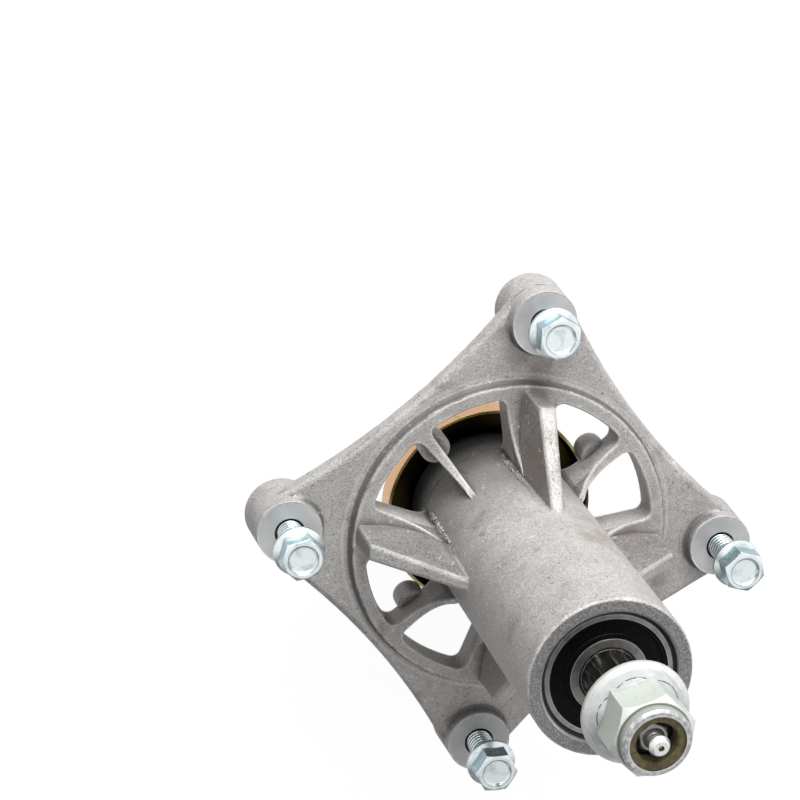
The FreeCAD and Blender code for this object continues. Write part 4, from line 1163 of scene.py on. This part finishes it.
class SPINDLE_OT_bolts(bpy.types.Operator):
    """Finish the deck bolts and cut the threads that show under their heads"""

    bl_idname = "spindle.bolts"
    bl_label = "Deck bolts"

    def execute(self, context):
        look = context.scene.spindle.bolts
        material = zinc_finish(look)
        dress(material, "deck_bolts")
        half = bolt_offset()
        corners = [(half, half), (-half, half), (-half, -half), (half, -half)]
        driven = corners.pop(DRIVEN_EAR)
        groups = {
            "bolt_threads": (corners, look.standoff),
            "driven_bolt_thread": ([driven], look.driven_standoff),
        }
        for name, (places, standoff) in groups.items():
            points = [(x, y, -look.mouth) for x, y in places]
            piece = grown(
                name, rolled_thread, points, [], radius=look.core_radius, crest=look.crest, pitch=look.pitch,
                length=standoff + look.mouth - look.run_out, material=material,
            )
            seat(piece, "housing")
        return {"FINISHED"}


class SPINDLE_OT_bearings(bpy.types.Operator):
    """Finish the two ball bearings"""

    bl_idname = "spindle.bearings"
    bl_label = "Bearings"

    def execute(self, context):
        look = context.scene.spindle.steel
        steel = ring_finish(look)
        cage = drawn_finish("cage_steel", look.cage, look.sleeve)
        rubber = rubber_finish(look)
        for end in ("upper", "lower"):
            dress(steel, f"{end}_outer_ring", f"{end}_inner_ring", f"{end}_balls")
            dress(cage, f"{end}_cage")
            dress(rubber, f"{end}_top_seal", f"{end}_bottom_seal")
        return {"FINISHED"}


class SPINDLE_OT_shaft(bpy.types.Operator):
    """Finish the shaft and its sleeve, and cut the thread in the blade hole"""

    bl_idname = "spindle.shaft"
    bl_label = "Shaft"

    def execute(self, context):
        look = context.scene.spindle.steel
        material = shaft_finish(look)
        dress(material, "shaft")
        dress(drawn_finish("sleeve_steel", look.sleeve, look.shaft), "spacer_sleeve")
        start = SHAFT_FOOT + look.hole_pitch
        piece = grown(
            "blade_hole_thread", rolled_thread, [(0.0, 0.0, start)], [], radius=look.hole_radius,
            crest=look.hole_crest, pitch=look.hole_pitch, length=look.hole_depth, material=material,
        )
        seat(piece, "rotor")
        return {"FINISHED"}


class SPINDLE_OT_cup(bpy.types.Operator):
    """Finish the dust cup"""

    bl_idname = "spindle.cup"
    bl_label = "Dust cup"

    def execute(self, context):
        dress(gold_finish(context.scene.spindle.cup), "dust_cup")
        return {"FINISHED"}


class SPINDLE_OT_nut(bpy.types.Operator):
    """Finish the lock nut with its plastic ring"""

    bl_idname = "spindle.nut"
    bl_label = "Lock nut"

    def execute(self, context):
        look = context.scene.spindle.nut
        dress(nut_finish(look), "flange_nut")
        dress(nylon_finish(look), "nut_insert")
        return {"FINISHED"}


class SPINDLE_OT_fitting(bpy.types.Operator):
    """Finish the grease fitting and its ball, and wind the spring that gives way under the ball"""

    bl_idname = "spindle.fitting"
    bl_label = "Grease fitting"

    def execute(self, context):
        look = context.scene.spindle.nut
        material = fitting_finish(look)
        dress(material, "grease_fitting", "grease_check_ball", "grease_spring")
        low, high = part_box("grease_spring")
        height = high.z - low.z
        coil = grown(
            "grease_coil", spring_coil, [(0.0, 0.0, low.z + look.wire)], [], radius=high.x - look.wire,
            wire=look.wire, turns=look.coils, length=height - 2.0 * look.wire, material=material,
        )
        seat(coil, "rotor")
        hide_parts("grease_spring")
        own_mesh(coil)
        return {"FINISHED"}


def camera_pose(studio):
    """Placement of the camera: it looks at its aim and is rolled about its line of sight."""
    place = Vector(studio.camera_place)
    sight = Vector(studio.camera_aim) - place
    turn = sight.to_track_quat("-Z", "Y").to_matrix().to_4x4()
    return Matrix.Translation(place) @ turn @ Matrix.Rotation(studio.camera_roll, 4, "Z")


def floor_finish(studio):
    """White floor that glows to the eye and in reflections, and still takes a shadow."""
    material, graph, shader = principled("floor", roughness=0.9, metallic=0.0)
    graph.feed(shader.inputs["Base Color"], [studio.floor_grey] * 3)
    path = graph.node("ShaderNodeLightPath").outputs
    seen = graph.most(path["Is Camera Ray"], path["Is Glossy Ray"], path["Is Transmission Ray"])
    glow = graph.wired(
        "ShaderNodeEmission", {"Color": WHITE, "Strength": graph.product(seen, studio.floor_white)}
    )
    both = graph.wired("ShaderNodeAddShader", {0: shader.outputs["BSDF"], 1: glow.outputs["Emission"]})
    graph.feed(material.node_tree.nodes["Material Output"].inputs["Surface"], both.outputs["Shader"])
    return material


def lit_sky(studio, bright):
    """Soft light that grows towards the bright side, and plain white behind the part."""
    world = bpy.data.worlds.new("studio")
    bpy.context.scene.world = world
    world.use_nodes = True
    graph = Graph(world.node_tree)
    direction = graph.node("ShaderNodeTexCoord").outputs["Generated"]
    toward = graph.vector_math("DOT_PRODUCT", direction, bright)["Value"]
    light = graph.blend(graph.fade(toward, -0.35, 1.0), studio.sky_dark, studio.sky_light)
    mirrored = graph.blend(graph.fade(toward, -0.60, -0.02), studio.mirror_dark, 1.0)
    path = graph.node("ShaderNodeLightPath").outputs
    polished = graph.most(path["Is Glossy Ray"], path["Is Transmission Ray"])
    light = graph.blend(polished, light, mirrored)
    back = world.node_tree.nodes["Background"]
    graph.feed(back.inputs["Strength"], graph.blend(path["Is Camera Ray"], light, 1.0))
    graph.feed(back.inputs["Color"], WHITE)


def compass(turn, rise):
    """Direction at a compass angle and a height angle."""
    return Vector((math.cos(rise) * math.cos(turn), math.cos(rise) * math.sin(turn), math.sin(rise)))


def lamp(studio, name, towards, width, height, watts):
    """A soft lamp that shines at the part from the given side."""
    data = bpy.data.lights.new(name, "AREA")
    data.shape = "RECTANGLE"
    data.size = width
    data.size_y = height
    data.energy = watts
    placed = bpy.data.objects.new(name, data)
    bpy.context.scene.collection.objects.link(placed)
    middle = (CAD_BOX[0] + CAD_BOX[1]) / 2.0
    turn = towards.to_track_quat("Z", "Y").to_matrix().to_4x4()
    placed.matrix_world = Matrix.Translation(middle + towards.normalized() * studio.lamp_distance) @ turn
    return placed


class SPINDLE_OT_stage(bpy.types.Operator):
    """Set up the white floor, the soft light and the camera"""

    bl_idname = "spindle.stage"
    bl_label = "Studio"

    def execute(self, context):
        studio = context.scene.spindle.studio
        context.scene.view_settings.view_transform = "Standard"
        data = bpy.data.cameras.new("camera")
        data.lens = studio.lens
        data.sensor_width = 36.0
        data.clip_start = 0.01
        camera = bpy.data.objects.new("camera", data)
        context.scene.collection.objects.link(camera)
        camera.matrix_world = camera_pose(studio)
        context.scene.camera = camera

        half = studio.floor_size / 2.0
        low = CAD_BOX[0].z
        corners = [(-half, -half, low), (half, -half, low), (half, half, low), (-half, half, low)]
        mesh = bpy.data.meshes.new("floor")
        mesh.from_pydata(corners, [], [(0, 1, 2, 3)])
        mesh.materials.append(floor_finish(studio))
        floor = bpy.data.objects.new("floor", mesh)
        context.scene.collection.objects.link(floor)

        key_side = compass(studio.key_turn, studio.key_rise)
        lit_sky(studio, key_side)
        lamp(studio, "key", key_side, studio.key_width, studio.key_height, studio.key_power)
        top_side = compass(studio.top_turn, studio.top_rise)
        top = lamp(studio, "top", top_side, studio.top_width, studio.top_width, studio.top_power)
        top.visible_glossy = False
        return {"FINISHED"}


class SPINDLE_PT_looks(bpy.types.Panel):
    """Settings and steps of the spindle's looks"""

    bl_idname = "SPINDLE_PT_looks"
    bl_label = "Mower deck spindle"
    bl_space_type = "VIEW_3D"
    bl_region_type = "UI"
    bl_category = "Spindle"

    def draw(self, context):
        settings = context.scene.spindle
        for group in settings.bl_rna.properties:
            if group.type != "POINTER" or group.identifier == "rna_type":
                continue
            box = self.layout.box()
            box.label(text=group.identifier.title())
            values = getattr(settings, group.identifier)
            for prop in values.bl_rna.properties:
                if prop.identifier not in ("rna_type", "name"):
                    box.prop(values, prop.identifier)
        for step in STEPS:
            self.layout.operator(step.bl_idname)


GROUPS = (
    CastingSettings, FlashSettings, BoltSettings, SteelSettings, CupSettings, NutSettings, StudioSettings,
    SpindleSettings,
)
STEPS = (
    SPINDLE_OT_housing, SPINDLE_OT_bolts, SPINDLE_OT_bearings, SPINDLE_OT_shaft, SPINDLE_OT_cup,
    SPINDLE_OT_nut, SPINDLE_OT_fitting, SPINDLE_OT_stage,
)


def register():
    for made in (*GROUPS, *STEPS, SPINDLE_PT_looks):
        bpy.utils.register_class(made)
    bpy.types.Scene.spindle = PointerProperty(type=SpindleSettings)


def unregister():
    del bpy.types.Scene.spindle
    for made in reversed((*GROUPS, *STEPS, SPINDLE_PT_looks)):
        bpy.utils.unregister_class(made)


def main():
    register()
    bpy.ops.spindle.housing()
    bpy.ops.spindle.bolts()
    bpy.ops.spindle.bearings()
    bpy.ops.spindle.shaft()
    bpy.ops.spindle.cup()
    bpy.ops.spindle.nut()
    bpy.ops.spindle.fitting()
    bpy.ops.spindle.stage()


if __name__ == "__main__":
    main()
